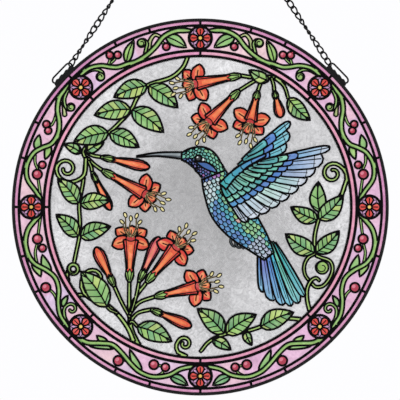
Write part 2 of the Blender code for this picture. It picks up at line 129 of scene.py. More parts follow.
TAIL = {
    "shoulder": (0.40, -0.22),
    "wrist": (0.50, -0.24),
    "tips": [(0.70, -0.60), (0.60, -0.74), (0.42, -0.57)],
    "feathers": 6,
    "lead_bulge": 0.015,
}
FLOWERS = [
    ("flower_top_left", (0.27, 0.88), (-0.03, 0.825), 0.082),
    ("flower_top_middle", (0.26, 0.78), (0.06, 0.575), 0.086),
    ("flower_top_right", (0.385, 0.775), (0.335, 0.575), 0.078),
    ("flower_left", (-0.655, 0.245), (-0.375, 0.09), 0.084),
    ("flower_bottom_left", (-0.475, -0.50), (-0.465, -0.215), 0.09),
    ("flower_bottom_middle", (-0.36, -0.505), (-0.165, -0.275), 0.09),
    ("flower_bottom_right", (-0.305, -0.60), (-0.02, -0.535), 0.086),
]
BUDS = [
    ("bud_top", (0.495, 0.775), (0.54, 0.60), 0.066),
    ("bud_left", (-0.665, 0.335), (-0.34, 0.265), 0.07),
    ("bud_bottom_left", (-0.575, -0.53), (-0.70, -0.27), 0.076),
    ("bud_bottom_right", (-0.33, -0.685), (-0.06, -0.80), 0.074),
]
PAINTED_BUDS = [((-0.725, 0.235), (-0.60, -0.02), 0.062), ((-0.41, -0.50), (-0.275, -0.20), 0.075)]
PETAL_TURNS = [0, -54, 54, -108, 108]
PETAL_REACH = {0: 0.085, 54: 0.115, 108: 0.125}
LEAF_PAIRS = [
    ("leaves_top_1", (-0.35, 0.815), (-0.15, 0.665), (-0.58, 0.735)),
    ("leaves_top_2", (-0.46, 0.655), (-0.245, 0.50), (-0.71, 0.615)),
    ("leaves_top_3", (-0.61, 0.50), (-0.41, 0.40), (-0.85, 0.43)),
    ("leaves_left_1", (-0.81, 0.02), (-0.60, 0.045), (-0.955, 0.19)),
    ("leaves_left_2", (-0.81, -0.20), (-0.60, -0.13), (-0.965, -0.05)),
    ("leaves_bottom", (0.165, -0.85), (0.375, -0.72), (-0.02, -0.68)),
    ("leaves_right_1", (0.77, -0.31), (0.57, -0.18), (0.93, -0.16)),
    ("leaves_right_2", (0.79, -0.09), (0.605, 0.0), (0.955, 0.08)),
]
SINGLE_LEAVES = [
    ("leaf_bottom_left", (-0.625, -0.665), (-0.80, -0.43), -1),
    ("leaf_bottom", (-0.42, -0.80), (-0.19, -0.90), 1),
    ("leaf_bottom_right", (0.405, -0.80), (0.625, -0.705), 1),
    ("leaf_top_right", (0.59, 0.725), (0.735, 0.58), -1),
]
PAINTED_LEAVES = [
    ((0.455, 0.845), (0.325, 0.915), 1), ((-0.80, 0.365), (-0.91, 0.42), -1),
    ((-0.765, 0.37), (-0.645, 0.43), 1), ((0.80, -0.035), (0.79, 0.17), 1),
    ((0.30, -0.83), (0.345, -0.925), -1), ((0.085, -0.885), (0.205, -0.955), 1),
]
LEAF_WIDTH = 0.50
LEAF_BEND = 0.05
LEAF_NECK = 0.010
PAIR_NECK = 0.016

# Stems on the clear ground: the points they pass and their widths from start to end
STEMS = [
    ([(-0.085, 1.0), (-0.12, 0.93), (-0.20, 0.865), (-0.35, 0.815), (-0.42, 0.735), (-0.46, 0.655),
     (-0.53, 0.575), (-0.61, 0.50), (-0.70, 0.44), (-0.775, 0.39), (-0.775, 0.34), (-0.725, 0.29)], 0.023,
     0.019),
    ([(-0.775, 0.375), (-0.72, 0.345), (-0.665, 0.335)], 0.017, 0.020),
    ([(-0.76, 0.335), (-0.71, 0.285), (-0.655, 0.245)], 0.017, 0.020),
    ([(-0.75, 0.31), (-0.73, 0.27), (-0.725, 0.235)], 0.017, 0.019),
    ([(-0.765, 0.32), (-0.785, 0.16), (-0.81, 0.02), (-0.805, -0.10), (-0.81, -0.20), (-0.83, -0.30),
     (-0.85, -0.40)], 0.019, 0.020),
    ([(-0.885, -0.42), (-0.888, -0.47), (-0.865, -0.54)], 0.019, 0.017),
    ([(-0.37, -0.985), (-0.425, -0.90), (-0.465, -0.80), (-0.475, -0.66), (-0.475, -0.50)], 0.031, 0.019),
    ([(-0.87, -0.585), (-0.78, -0.59), (-0.68, -0.62), (-0.57, -0.70), (-0.49, -0.80), (-0.445, -0.90)],
     0.017, 0.027),
    ([(-0.47, -0.74), (-0.53, -0.63), (-0.575, -0.53)], 0.017, 0.020),
    ([(-0.47, -0.70), (-0.43, -0.60), (-0.36, -0.505)], 0.017, 0.020),
    ([(-0.475, -0.72), (-0.41, -0.64), (-0.305, -0.60)], 0.017, 0.020),
    ([(-0.47, -0.77), (-0.42, -0.71), (-0.33, -0.685)], 0.017, 0.020),
    ([(-0.46, -0.70), (-0.43, -0.60), (-0.41, -0.50)], 0.016, 0.019),
    ([(-0.55, -0.71), (-0.60, -0.69), (-0.625, -0.665)], 0.016, 0.017),
    ([(-0.475, -0.78), (-0.455, -0.765), (-0.42, -0.80)], 0.016, 0.017),
    ([(0.76, -0.76), (0.66, -0.75), (0.56, -0.745), (0.47, -0.765), (0.405, -0.80), (0.29, -0.835),
     (0.165, -0.85), (0.06, -0.90), (0.0, -0.97)], 0.023, 0.019),
    ([(0.50, 0.865), (0.44, 0.872), (0.35, 0.868), (0.27, 0.88)], 0.020, 0.020),
    ([(0.42, 0.872), (0.34, 0.83), (0.26, 0.78)], 0.019, 0.020),
    ([(0.44, 0.872), (0.405, 0.83), (0.385, 0.775)], 0.019, 0.020),
    ([(0.475, 0.868), (0.49, 0.82), (0.495, 0.775)], 0.017, 0.019),
    ([(0.50, 0.865), (0.56, 0.81), (0.59, 0.725)], 0.020, 0.017),
    ([(0.965, 0.12), (0.90, 0.02), (0.82, -0.03), (0.79, -0.09), (0.765, -0.20), (0.77, -0.31),
     (0.80, -0.335), (0.865, -0.36), (0.885, -0.41), (0.868, -0.47), (0.825, -0.525), (0.775, -0.535),
     (0.745, -0.51)], 0.020, 0.019),
    ([(0.77, -0.31), (0.72, -0.34), (0.695, -0.395), (0.70, -0.45), (0.725, -0.49)], 0.019, 0.017),
    ([(0.73, -0.69), (0.715, -0.62), (0.715, -0.55), (0.74, -0.495), (0.775, -0.475), (0.80, -0.495)], 0.023,
     0.017),
]
# Tendrils: the points before the curl, then its centre, first radius and the turns it makes
TENDRILS = [
    ([(-0.765, 0.33), (-0.775, 0.22), (-0.83, 0.175)], (-0.895, 0.255), 0.082, -1.35),
    ([(0.94, 0.06), (0.965, 0.14)], (0.885, 0.225), 0.082, 1.4),
    ([(-0.66, -0.64), (-0.74, -0.61)], (-0.715, -0.485), 0.085, -1.3),
    ([(-0.09, -1.0), (-0.15, -0.97)], (-0.105, -0.915), 0.052, -1.2),
]
# Coils: centre, radius, the way the coil opens and the radius of its hole
COILS = [((0.815, -0.405), 0.043, 60, 0.0), ((-0.85, -0.415), 0.042, 100, 0.019)]
# Half outlines, as shares of the length and of the half width
TUBE_EDGE = [(0.10, 0.40), (0.3, 0.50), (0.5, 0.64), (0.7, 0.82), (0.86, 0.98), (0.97, 1.12)]
BUD_EDGE = [
    (0.10, 0.42), (0.2, 0.46), (0.4, 0.62), (0.58, 0.86), (0.72, 1.0), (0.84, 0.96), (0.93, 0.70),
    (0.985, 0.3),
]
PETAL_EDGE = [(0.0, 0.30), (0.2, 0.62), (0.42, 0.94), (0.62, 1.0), (0.80, 0.78), (0.93, 0.38)]
FEATHER_EDGE = [(0.0, 0.35), (0.25, 0.70), (0.55, 0.95), (0.80, 1.0)]
SLIM_PETAL_EDGE = [(0.0, 0.02), (0.35, 0.10), (0.65, 0.13), (1.0, 0.02)]
FULL_PETAL_EDGE = [(0.0, 0.10), (0.3, 0.27), (0.62, 0.36), (0.88, 0.26), (1.0, 0.06)]
CALYX_EDGE = [(-0.03, 0.24), (0.25, 0.44), (0.62, 0.60), (1.25, 0.60), (0.92, 0.28)]
CALYX_SHARE = 0.23
STAMEN_TURNS = [-26, -12, 2, 15, 29]
STAMEN_REACH = [0.118, 0.150, 0.128, 0.156, 0.120]

# The border, in shares of one pane's turn (u) and of half the field's width (v, outwards)
VINES = {
    "top": [(0.03, 0.62), (0.10, 0.72), (0.18, 0.78), (0.27, 0.46), (0.345, -0.22), (0.43, -0.70),
        (0.527, -0.90), (0.60, -0.76), (0.673, -0.62), (0.724, -0.26), (0.78, 0.33), (0.855, 0.76),
        (0.93, 0.82), (0.975, 0.80)],
    "high": [(0.03, 0.95), (0.09, 0.92), (0.158, 0.84), (0.238, 0.34), (0.31, -0.40), (0.393, -0.80),
        (0.487, -0.66), (0.545, 0.0), (0.602, 0.55), (0.696, 0.82), (0.793, 0.56), (0.878, -0.33),
        (0.93, -0.78), (0.97, -0.95)],
    "low": [(0.03, -0.95), (0.06, -0.78), (0.10, -0.30), (0.164, 0.40), (0.25, 0.82), (0.343, 0.84),
        (0.42, 0.52), (0.50, -0.28), (0.582, -0.68), (0.673, -0.46), (0.751, 0.18), (0.835, 0.70),
        (0.92, 0.84), (0.97, 0.90)],
    "bottom": [(0.02, 0.94), (0.06, 0.86), (0.122, 0.62), (0.197, -0.03), (0.275, -0.50), (0.365, -0.32),
        (0.477, 0.26), (0.558, 0.60), (0.656, 0.64), (0.763, 0.18), (0.842, -0.50), (0.93, -0.82),
        (0.98, -0.90)],
}
# Each leaf: base, tip, width as a share of its length, and whether it has a midrib
BORDER_LEAVES = {
    "top": [((0.252, 0.42), (0.110, -0.80), 0.48, True), ((0.602, -0.60), (0.482, 0.94), 0.36, True)],
    "high": [((0.575, 0.30), (0.462, 0.66), 0.44, False), ((0.500, -0.46), (0.622, -0.60), 0.42, False)],
    "low": [((0.535, -0.42), (0.372, -0.36), 0.38, False), ((0.405, 0.66), (0.525, 0.44), 0.44, False),
        ((0.795, 0.08), (0.750, -0.88), 0.40, False)],
    "bottom": [((0.13, 0.72), (0.300, -0.20), 0.26, False), ((0.235, -0.42), (0.135, -0.34), 0.44, False),
        ((0.560, 0.44), (0.412, -0.92), 0.26, False), ((0.780, 0.26), (0.912, 0.86), 0.46, True)],
}
# Each arching bract: its path, and its widths from the vine to its tip
BRACTS = {
    "top": [([(0.285, 0.45), (0.327, 0.80), (0.367, 0.50), (0.392, 0.0), (0.412, -0.50)], 2.0 * MM,
        3.8 * MM)],
    "high": [([(0.165, 0.52), (0.188, 0.12), (0.215, -0.20), (0.238, -0.44)], 1.4 * MM, 3.4 * MM)],
}
# Each curl: the points before it, its centre, its radius and its turning; an open one is a spiral
TIGHT_CURLS = {
    "top": [([(0.444, -0.60), (0.418, -0.13), (0.400, 0.26)], (0.439, 0.46), 3.3 * MM, -1),
        ([(0.93, 0.74), (0.86, 0.56), (0.820, 0.24)], (0.833, -0.44), 3.3 * MM, 1)],
    "high": [([(0.075, 0.72), (0.14, 0.44), (0.176, 0.06)], (0.163, -0.50), 3.1 * MM, -1)],
}
OPEN_CURLS = {"low": [([(0.95, 0.70), (0.88, 0.56), (0.829, 0.22)], (0.853, -0.42), 5.2 * MM, -0.95)]}
# Each berry: its place, and its radius in millimetres
BERRIES = {
    "top": [((0.266, -0.46), 2.9), ((0.634, 0.36), 2.9), ((0.684, 0.68), 2.9)],
    "high": [((0.372, 0.50), 2.9), ((0.408, 0.10), 2.8), ((0.668, -0.50), 2.9), ((0.748, -0.25), 3.8)],
    "low": [((0.247, -0.28), 3.8), ((0.325, -0.53), 3.0), ((0.612, 0.47), 3.8)],
    "bottom": [((0.376, 0.46), 3.9), ((0.635, -0.42), 3.7), ((0.727, -0.45), 3.2)],
}
STALKS = {
    "top": [[(0.335, -0.15), (0.292, -0.02), (0.268, -0.25)],
        [(0.755, 0.0), (0.715, 0.04), (0.675, 0.12), (0.642, 0.3)],
        [(0.735, 0.0), (0.705, 0.28), (0.690, 0.55)]],
    "high": [[(0.235, 0.42), (0.295, 0.13), (0.352, 0.06), (0.378, 0.26)],
        [(0.605, 0.40), (0.665, 0.18), (0.715, -0.25)], [(0.94, -0.86), (0.86, -0.66), (0.77, -0.35)]],
    "low": [[(0.05, -0.86), (0.14, -0.64), (0.23, -0.35)], [(0.425, 0.34), (0.345, 0.20), (0.275, -0.20)],
        [(0.745, 0.22), (0.685, 0.10), (0.625, 0.30)]],
    "bottom": [[(0.475, 0.26), (0.425, 0.14), (0.382, 0.34)], [(0.665, 0.60), (0.706, 0.20), (0.727, -0.25)],
        [(0.65, -0.42), (0.71, -0.50)]],
}
# Which way each pane runs from its first rosette, and whether it is mirrored
PANES = [
    ("top", 90, -1), ("high", 45, -1), ("low", 0, -1), ("bottom", -45, -1), ("top", 90, 1), ("high", 135, 1),
    ("low", 180, 1), ("bottom", 225, 1),
]
OUTER_TICKS = [0, 15.5, 27.3, 45, 62.5, 74]
ROSETTE_TURNS = [0, 45, 90, 135, 180, 225, 270, 315]
CURL_STEM = 2.2 * MM
POINT_SHARPNESS = 8
# The shortest steps that a lead or painted line keeps, along its way and at its end
LINE_STEP = 0.45 * MM
LINE_END_STEP = 0.25 * MM
# A painted line's depth beyond the glass: the same for all, and a share of its width
PAINT_DEPTH = 0.16 * MM
PAINT_DEPTH_SHARE = 0.12
# How much thicker a rosette's glass is than a pane
ROSETTE_BULGE = 1.12

# How far the flanges of the outer and the inner round lead sit out from the middle of its heart
OUTER_SHIFT = 0.35 * MM
INNER_SHIFT = 0.45 * MM

# The stage: half the floor's side and its height, and each light's name, place, size and power
FLOOR_HALF = 0.9
FLOOR_HEIGHT = -0.62
LIGHTS = [("key", (-0.9, -1.3, 0.5), 1.2, 2.6), ("fill", (1.1, -1.2, -0.1), 1.4, 1.2)]

# The camera's view in pixels: its side, the panel's radius in it and how far its middle is from the panel's
VIEW_SIDE = 400
VIEW_PANEL_RADIUS = 188.2
VIEW_SHIFT = (-0.3, 7.0)

FIGURE_SLOTS = {
    "clear_ground": "glass_ground", "bird_beak": "glass_beak", "bird_head": "glass_head",
    "bird_body": "glass_body", "bird_near_wing": "glass_wing", "bird_far_wing": "glass_far_wing",
    "bird_tail": "glass_tail", "flower": "glass_flower", "bud": "glass_bud", "leaf": "glass_leaf",
    "leaves": "glass_leaf",
}


def linear(red, green, blue):
    """Screen colour from 0 to 255 as the linear values that a shader takes."""
    return tuple(c / 12.92 if c <= 0.04045 else ((c + 0.055) / 1.055) ** 2.4
                 for c in (red / 255, green / 255, blue / 255))


def mixed(first, second, share):
    share = min(max(share, 0.0), 1.0)
    return tuple(a + (b - a) * share for a, b in zip(first, second))


def even(colour):
    """One colour all over a cell."""
    return lambda point: colour


def fading(first, second, start, end):
    """From one colour to the other between two places."""
    start, end = Vector(start), Vector(end)
    way = end - start
    return lambda point: mixed(first, second, (point - start).dot(way) / way.length_squared)


LEAF_GREENS = [
    linear(118, 190, 96), linear(150, 205, 92), linear(96, 176, 98), linear(186, 214, 104),
    linear(136, 198, 108), linear(92, 174, 110),
]
STEM_GREEN = linear(142, 192, 84)
# The lighter stem green is a painted highlight, along a stem and on the lit side of a coil.
STEM_HIGHLIGHT = linear(182, 216, 116)
VINE_GREEN = linear(118, 172, 82)
# The lighter vine green is the painted highlight along the vine and its stalks, and the own colour of the
# border's coils.
VINE_LIGHT = linear(158, 202, 108)
# A bract's own green, and the lighter green of the painted highlight along it.
BRACT_COLOURS = (linear(150, 180, 96), linear(196, 206, 138))
CALYX_GREEN = linear(150, 196, 92)
RED = linear(228, 38, 28)
DEEP_RED = linear(196, 24, 28)
ORANGE = linear(252, 114, 54)
ORANGE_HIGHLIGHT = linear(255, 176, 102)
CRIMSON = linear(206, 40, 78)
BERRY_SHINE = linear(244, 150, 170)
ANTHER = linear(246, 232, 160)
FILAMENT = linear(186, 160, 96)
LILAC = linear(212, 160, 208)
ROSETTE_RED = linear(238, 62, 44)
ROSETTE_YELLOW = linear(248, 208, 96)
WHITE = linear(238, 246, 248)
PALE_AQUA = linear(190, 232, 236)
MINT = linear(122, 220, 180)
TEAL = linear(44, 178, 178)
DEEP_TEAL = linear(24, 140, 156)
CYAN = linear(62, 190, 222)
BLUE = linear(72, 132, 214)
DEEP_BLUE = linear(38, 70, 168)
VIOLET = linear(128, 110, 200)
MAGENTA = linear(186, 96, 190)
LAVENDER = linear(190, 196, 226)
LIME = linear(166, 226, 128)
PEACH = linear(238, 178, 166)
SLATE = linear(92, 110, 120)
DARK = linear(14, 16, 20)
LEAF_SHADE = (0.03, 0.14, 0.05)
LEAF_SHINE = (0.75, 0.9, 0.45)
FEATHER_SHADE = (0, 0.02, 0.05)
FIELD_DRIFTS = [
    linear(244, 198, 228), linear(240, 188, 224), linear(248, 204, 222), linear(234, 206, 238),
    linear(244, 194, 222), linear(250, 214, 218),
]
BAND_TONES = (linear(238, 176, 208), linear(214, 130, 196), linear(242, 190, 214))


def length_setting(label, description, default, low, high):
    """A length, given in millimetres."""
    return bpy.props.FloatProperty(name=label, description=description, default=default * MM, min=low * MM,
                                   max=high * MM, subtype="DISTANCE", unit="LENGTH")


def colour_setting(label, description, default):
    return bpy.props.FloatVectorProperty(name=label, description=description, subtype="COLOR", size=3,
                                         default=default, min=0, max=1)


class GlassPanelSettings(bpy.types.PropertyGroup):
    lead_width: length_setting("Lead Width", "Width of the lead between two pieces of glass", 1.95, 0.4, 4)
    line_width: length_setting("Painted Line", "Width of a painted outline on the glass", 1.7, 0.2, 3)
    flange: length_setting("Flange", "How far a round lead bar covers the glass beside it", 0.42, 0, 1)
    stem_line: length_setting("Stem Line", "Width of the painted outline of a stem or vine", 1.55, 0.2, 3)
    fine_width: length_setting("Fine Line", "Width of a vein or a hatch line", 0.84, 0.1, 2)
    crown: length_setting("Lead Crown", "How far the lead stands out of each face of the glass",
                          0.55, 0.1, 1.5)
    vine_width: length_setting("Vine Width", "Width of the vine in the border at its start", 3.7, 1, 6)
    band_pink: colour_setting("Outer Band", "Colour of the outer band", linear(242, 160, 208))
    band_rose: colour_setting("Inner Band", "Colour of the inner band", linear(248, 164, 192))
    field_pink: colour_setting("Border Field", "Colour of the glass behind the vine", linear(238, 200, 226))
    clear_tint: colour_setting("Clear Glass", "Tint of the clear glass behind the figures",
                               (0.325, 0.323, 0.328))
    clear_cover: bpy.props.FloatProperty(
        name="Clear Cover", description="How much the clear glass hides what is behind it", default=0.5,
        min=0, max=1, subtype="FACTOR")


def settings():
    return bpy.context.scene.glass_panel


# Flat shapes

def smooth(points, share):
    """A point on the smooth curve through all the given points, at a share of its way from 0 to 1."""
    place = min(max(share, 0.0), 1.0) * (len(points) - 1)
    i = min(int(place), len(points) - 2)
    t = place - i
    near, far = points[i], points[i + 1]
    before = points[i - 1] if i > 0 else near * 2 - far
    after = points[i + 2] if i + 2 < len(points) else far * 2 - near
    return (near * 2 + (far - before) * t + (before * 2 - near * 5 + far * 4 - after) * t**2
            + (near * 3 - before - far * 3 + after) * t**3) / 2


def smooth_line(points, steps):
    """The smooth curve through the points, with this many steps from each to the next."""
    line = [Vector(p) for p in points]
    count = steps * (len(line) - 1)
    return [smooth(line, i / count) for i in range(count + 1)]


def across(direction):
    return Vector((-direction.y, direction.x)).normalized()


def turned(direction, degrees):
    angle = math.radians(degrees)
    return Vector((direction.x * math.cos(angle) - direction.y * math.sin(angle),
                   direction.x * math.sin(angle) + direction.y * math.cos(angle)))


def polar(angle, reach):
    """A place from its angle in radians and its distance from the middle."""
    return Vector((math.cos(angle), math.sin(angle))) * reach


def circle(radius, count):
    return [polar(math.tau * i / count, radius) for i in range(count)]


def in_picture(point):
    """A place in the picture from shares of its radius."""
    return Vector(point) * PICTURE_RADIUS


def bow(ends, share):
    """A point on the curve from the first end to the last that leans to the middle point."""
    first, lean, last = (Vector(p) for p in ends)
    return first * (1 - share)**2 + lean * 2 * share * (1 - share) + last * share**2


def oval(centre, reach, wide, turn=0.0, count=18):
    """An oval with its long half `reach` turned by degrees, and its half width `wide`."""
    way = turned(Vector((1, 0)), turn)
    centre = Vector(centre)
    return [centre + way * reach * math.cos(a) + across(way) * wide * math.sin(a)
            for a in (math.tau * i / count for i in range(count))]


def along_axis(start, end, stations):
    """Places shares of the length along and lengths across the way from one point to another."""
    start, end = Vector(start), Vector(end)
    side = across(end - start)
    return [start + (end - start) * u + side * v for u, v in stations]


def mirrored(start, end, edge):
    """A closed shape from the stations of one edge, with the same edge on the other side."""
    return along_axis(start, end, [(u, -v) for u, v in edge] + [(u, v) for u, v in edge[::-1]])


def ribbon(path, first_width, last_width, round_end=False, pointed=False):
    """Outline of a strip along a path, which may change in width, end round or be pointed at each end."""
    count = len(path) - 1
    left, right = [], []
    for i, here in enumerate(path):
        side = across(path[min(i + 1, count)] - path[max(i - 1, 0)])
        half = (first_width + (last_width - first_width) * i / count) / 2
        if pointed:
            half *= min(1.0, 0.25 + POINT_SHARPNESS * min(i, count - i) / count)
        left.append(here + side * half)
        right.append(here - side * half)
    cap = []
    if round_end:
        way = (path[-1] - path[-2]).normalized()
        cap = [path[-1] + turned(way, a) * last_width / 2 for a in (-55, 0, 55)]
    return right + cap + left[::-1]


def curl(lead_in, centre, radius, turns, steps=16):
    """A path that follows the first points and then winds into a curl round its centre."""
    centre = Vector(centre)
    start = Vector(lead_in[-1]) - centre
    first = math.atan2(start.y, start.x)
    entry = start.length
    count = int(steps * abs(turns))
    winding = []
    for i in range(1, count + 1):
        share = i / count
        reach = entry + (radius - entry) * min(share * 6, 1.0)
        reach *= 1 - 0.72 * share
        angle = first + math.tau * turns * share
        winding.append(centre + polar(angle, reach))
    opening = smooth_line([*lead_in, winding[0], winding[1]], 4)[:-8]
    return opening + winding


def leaf_sides(base, tip, neck, bend, steps=10, width=LEAF_WIDTH):
    """The two edges and the midline of a leaf, each from its base to its tip."""
    along = tip - base
    side = across(along) * along.length
    middle, left, right = [], [], []
    for i in range(steps + 1):
        share = i / steps
        half = width / 2 * math.sin(math.pi * share**0.78)**0.86 if 0 < share < 1 else 0.0
        centre = base + along * share + side * LEAF_BEND * bend * math.sin(math.pi * share)
        reach = side * half + across(along) * neck * (1 - share)**2
        middle.append(centre)
        left.append(centre + reach)
        right.append(centre - reach)
    return left, right, middle


class Pattern:
    """Full-size drawing of one glazed area: flat shapes from back to front, cut into the cells that show."""

    def __init__(self):
        self.corners = []
        self.shapes = []
        self.strokes = []
        self.cut_corners = []
        self.order = 0

    def add_corners(self, points):
        first = len(self.corners)
        self.corners += [Vector(p[:2]) / MM for p in points]
        return list(range(first, first + len(points)))

    def shape(self, piece, outline, paint, line=0.0, within=None):
        """Adds a shape in front of those before it. Without a piece it is painted on the glass under it.
        Its line is drawn where both sides are on one piece of glass. It shows only within the given shape."""
        area = sum(a.x * b.y - a.y * b.x for a, b in zip(outline, outline[1:] + outline[:1]))
        corners = self.add_corners(outline if area > 0 else outline[::-1])
        self.order += 1
        self.shapes.append({"piece": piece, "corners": corners, "paint": paint, "line": line,
                            "within": within, "order": self.order, "last": self.order})
        index = len(self.shapes) - 1
        parent = within
        while parent is not None:
            self.shapes[parent]["last"] = self.order
            parent = self.shapes[parent]["within"]
        return index

    def stroke(self, path, width, within=None):
        self.order += 1
        self.strokes.append({"corners": self.add_corners(path), "width": width, "within": within,
                             "order": self.order})

    def shown(self, index, members):
        """Whether a shape counts in a cell, which it does if all the shapes that it is kept within do."""
        while self.shapes[index]["within"] is not None:
            index = self.shapes[index]["within"]
            if index not in members:
                return False
        return True

    def cut(self, lead_width):
        """Returns plates as {piece: [(corner numbers, paint), ...]}, which share their corners, and lines as
        {(kind, width): [path, ...]}."""
        edges, edge_stroke = [], []
        for stroke in self.strokes:
            for pair in zip(stroke["corners"], stroke["corners"][1:]):
                edges.append(pair)
                edge_stroke.append(stroke)
        faces = [shape["corners"] for shape in self.shapes]
        face_step = 10 ** math.ceil(math.log10(max(len(edges), *(len(face) for face in faces))))
        cut = delaunay_2d_cdt(self.corners, edges, faces, 1, 1e-4)
        corners, cut_edges, cells, _, edge_ids, cell_ids = cut
        plates, tops, pieces, members_of = {}, [], [], []
        beside = {}
        for number, (cell, ids) in enumerate(zip(cells, cell_ids)):
            members = set(ids)
            showing = [i for i in members if self.shown(i, members)]
            top = max(showing, key=lambda i: self.shapes[i]["order"], default=None)
            glazed = [i for i in showing if self.shapes[i]["piece"]]
            glass = max(glazed, key=lambda i: self.shapes[i]["order"], default=None)
            piece = self.shapes[glass]["piece"] if glass is not None else None
            piece = None if piece == OPENING else piece
            tops.append(self.shapes[top]["order"] if top is not None else 0)
            pieces.append(piece)
            members_of.append(set(showing))
            if piece:
                plates.setdefault(piece, []).append((tuple(cell), self.shapes[top]["paint"]))
            for a, b in zip(cell, cell[1:] + cell[:1]):
                beside.setdefault((min(a, b), max(a, b)), []).append(number)
        lines = {}
        for (a, b), ids in zip(cut_edges, edge_ids):
            near = [n for n in beside.get((min(a, b), max(a, b)), []) if pieces[n]]
            if not ids or len(near) < 2:
                continue
            high = max(tops[n] for n in near)
            joint = pieces[near[0]] != pieces[near[1]]
            best = (0.0, "paint")
            for i in ids:
                if i < len(edges):
                    stroke = edge_stroke[i]
                    inside = stroke["within"] is None or any(stroke["within"] in members_of[n] for n in near)
                    if inside and stroke["order"] > high:
                        best = max(best, (stroke["width"], "paint"))
                    continue
                index = i // face_step - 1
                shape = self.shapes[index]
                if shape["last"] < high or not any(index in members_of[n] for n in near):
                    continue
                if joint:
                    best = max(best, (lead_width, "lead"))
                elif shape["line"]:
                    best = max(best, (shape["line"], "paint"))
            if best[0]:
                lines.setdefault((best[1], round(best[0], 6)), []).append((a, b))
        self.cut_corners = [Vector((c[0], c[1])) * MM for c in corners]
        return plates, {key: self.joined(pairs) for key, pairs in lines.items()}

    def joined(self, pairs):
        """Joins edges end to end into paths, and drops points that are too close to the last to matter."""
        links = {}
        for a, b in pairs:
            links.setdefault(a, set()).add(b)
            links.setdefault(b, set()).add(a)
        paths = []

        def walk(start, step):
            path = [start, step]
            links[start].discard(step)
            links[step].discard(start)
            while len(links[path[-1]]) == 1 and path[-1] != start:
                here = path[-1]
                step = links[here].pop()
                links[step].discard(here)
                path.append(step)
            return path

        ends = [n for n, near in links.items() if len(near) != 2]
        for start in [*ends, *links]:
            while links[start]:
                paths.append(walk(start, min(links[start])))
        return [self.thinned([self.cut_corners[n] for n in path]) for path in paths]

    @staticmethod
    def thinned(path):
        kept = [path[0]]
        for point in path[1:-1]:
            if (point - kept[-1]).length > LINE_STEP:
                kept.append(point)
        if len(kept) > 1 and (path[-1] - kept[-1]).length < LINE_END_STEP:
            kept.pop()
        return kept + [path[-1]]


# Pieces and their finish

def on_panel(point, depth=0.0):
    """A place on the panel, from the drawing's flat X and Y and the depth behind its middle."""
    return PANEL_CENTRE + Vector((point[0], depth, point[1]))


def link_object(name, mesh):
    piece = bpy.data.objects.new(name, mesh)
    bpy.context.scene.collection.objects.link(piece)
    return piece


def finished(piece, slot, nodes=()):
    """Attaches the piece to its body and hides the solids that it stands for; the slot is not used."""
    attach(piece, BODY)
    if nodes:
        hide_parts(*nodes)


def plate_object(name, corners, cells, material, clear=None):
    """A plate of glass: its front and back painted alike, and walls round its edge."""
    used = sorted({n for cell, _ in cells for n in cell})
    place = {n: i for i, n in enumerate(used)}
    half = GLASS_THICKNESS / 2
    count = len(used)
    points = [on_panel(corners[n], -half) for n in used] + [on_panel(corners[n], half) for n in used]
    faces, colours, kinds = [], [], []
    rims = {}
    for cell, paint in cells:
        ring = [place[n] for n in cell]
        see_through = paint is None
        tones = [(0.5, 0.5, 0.5) if see_through else paint(corners[n]) for n in cell]
        faces += [ring, [i + count for i in ring[::-1]]]
        colours += [*tones, *tones[::-1]]
        kinds += [see_through, see_through]
        for i, a in enumerate(ring):
            b = ring[(i + 1) % len(ring)]
            if (b, a) in rims:
                del rims[(b, a)]
            else:
                rims[(a, b)] = (tones[i], tones[(i + 1) % len(ring)], see_through)
    for (a, b), (first, second, see_through) in rims.items():
        faces.append([b, a, a + count, b + count])
        colours += [second, first, first, second]
        kinds.append(see_through)
    mesh = bpy.data.meshes.new(name)
    mesh.from_pydata(points, [], faces)
    paint_layer = mesh.color_attributes.new("paint", "FLOAT_COLOR", "CORNER")
    paint_layer.data.foreach_set("color", [c for tone in colours for c in (*tone, 1.0)])
    mesh.materials.append(material)
    if clear:
        mesh.materials.append(clear)
        mesh.polygons.foreach_set("material_index", [int(kind) for kind in kinds])
    mesh.update()
    return link_object(name, mesh)


def fill_inputs(tree, node, sources):
    """Links or sets the inputs of a node."""
    for socket, source in sources.items():
        if isinstance(source, bpy.types.NodeSocket):
            tree.links.new(source, node.inputs[socket])
        else:
            node.inputs[socket].default_value = source


def node_adder(tree):
    """A function that adds a node to the tree, with its inputs and values."""
    def add(kind, inputs=None, **values):
        node = tree.nodes.new(kind)
        for key, value in values.items():
            setattr(node, key, value)
        fill_inputs(tree, node, inputs or {})
        return node

    return add


def node_tree(name, inputs):
    """A Geometry Nodes tree with named inputs, and a function that adds a node."""
    tree = bpy.data.node_groups.new(name, "GeometryNodeTree")
    tree.interface.new_socket("Geometry", in_out="INPUT", socket_type="NodeSocketGeometry")
    tree.interface.new_socket("Geometry", in_out="OUTPUT", socket_type="NodeSocketGeometry")
    for label, kind in inputs:
        tree.interface.new_socket(label, in_out="INPUT", socket_type="NodeSocket" + kind)
    return tree, node_adder(tree)


def end_tree(add, geometry, material):
    """The last nodes of a tree: real geometry with its material."""
    real = add("GeometryNodeRealizeInstances", {"Geometry": geometry})
    coloured = add("GeometryNodeSetMaterial", {"Geometry": real.outputs[0], "Material": material})
    add("NodeGroupOutput", {"Geometry": coloured.outputs[0]})


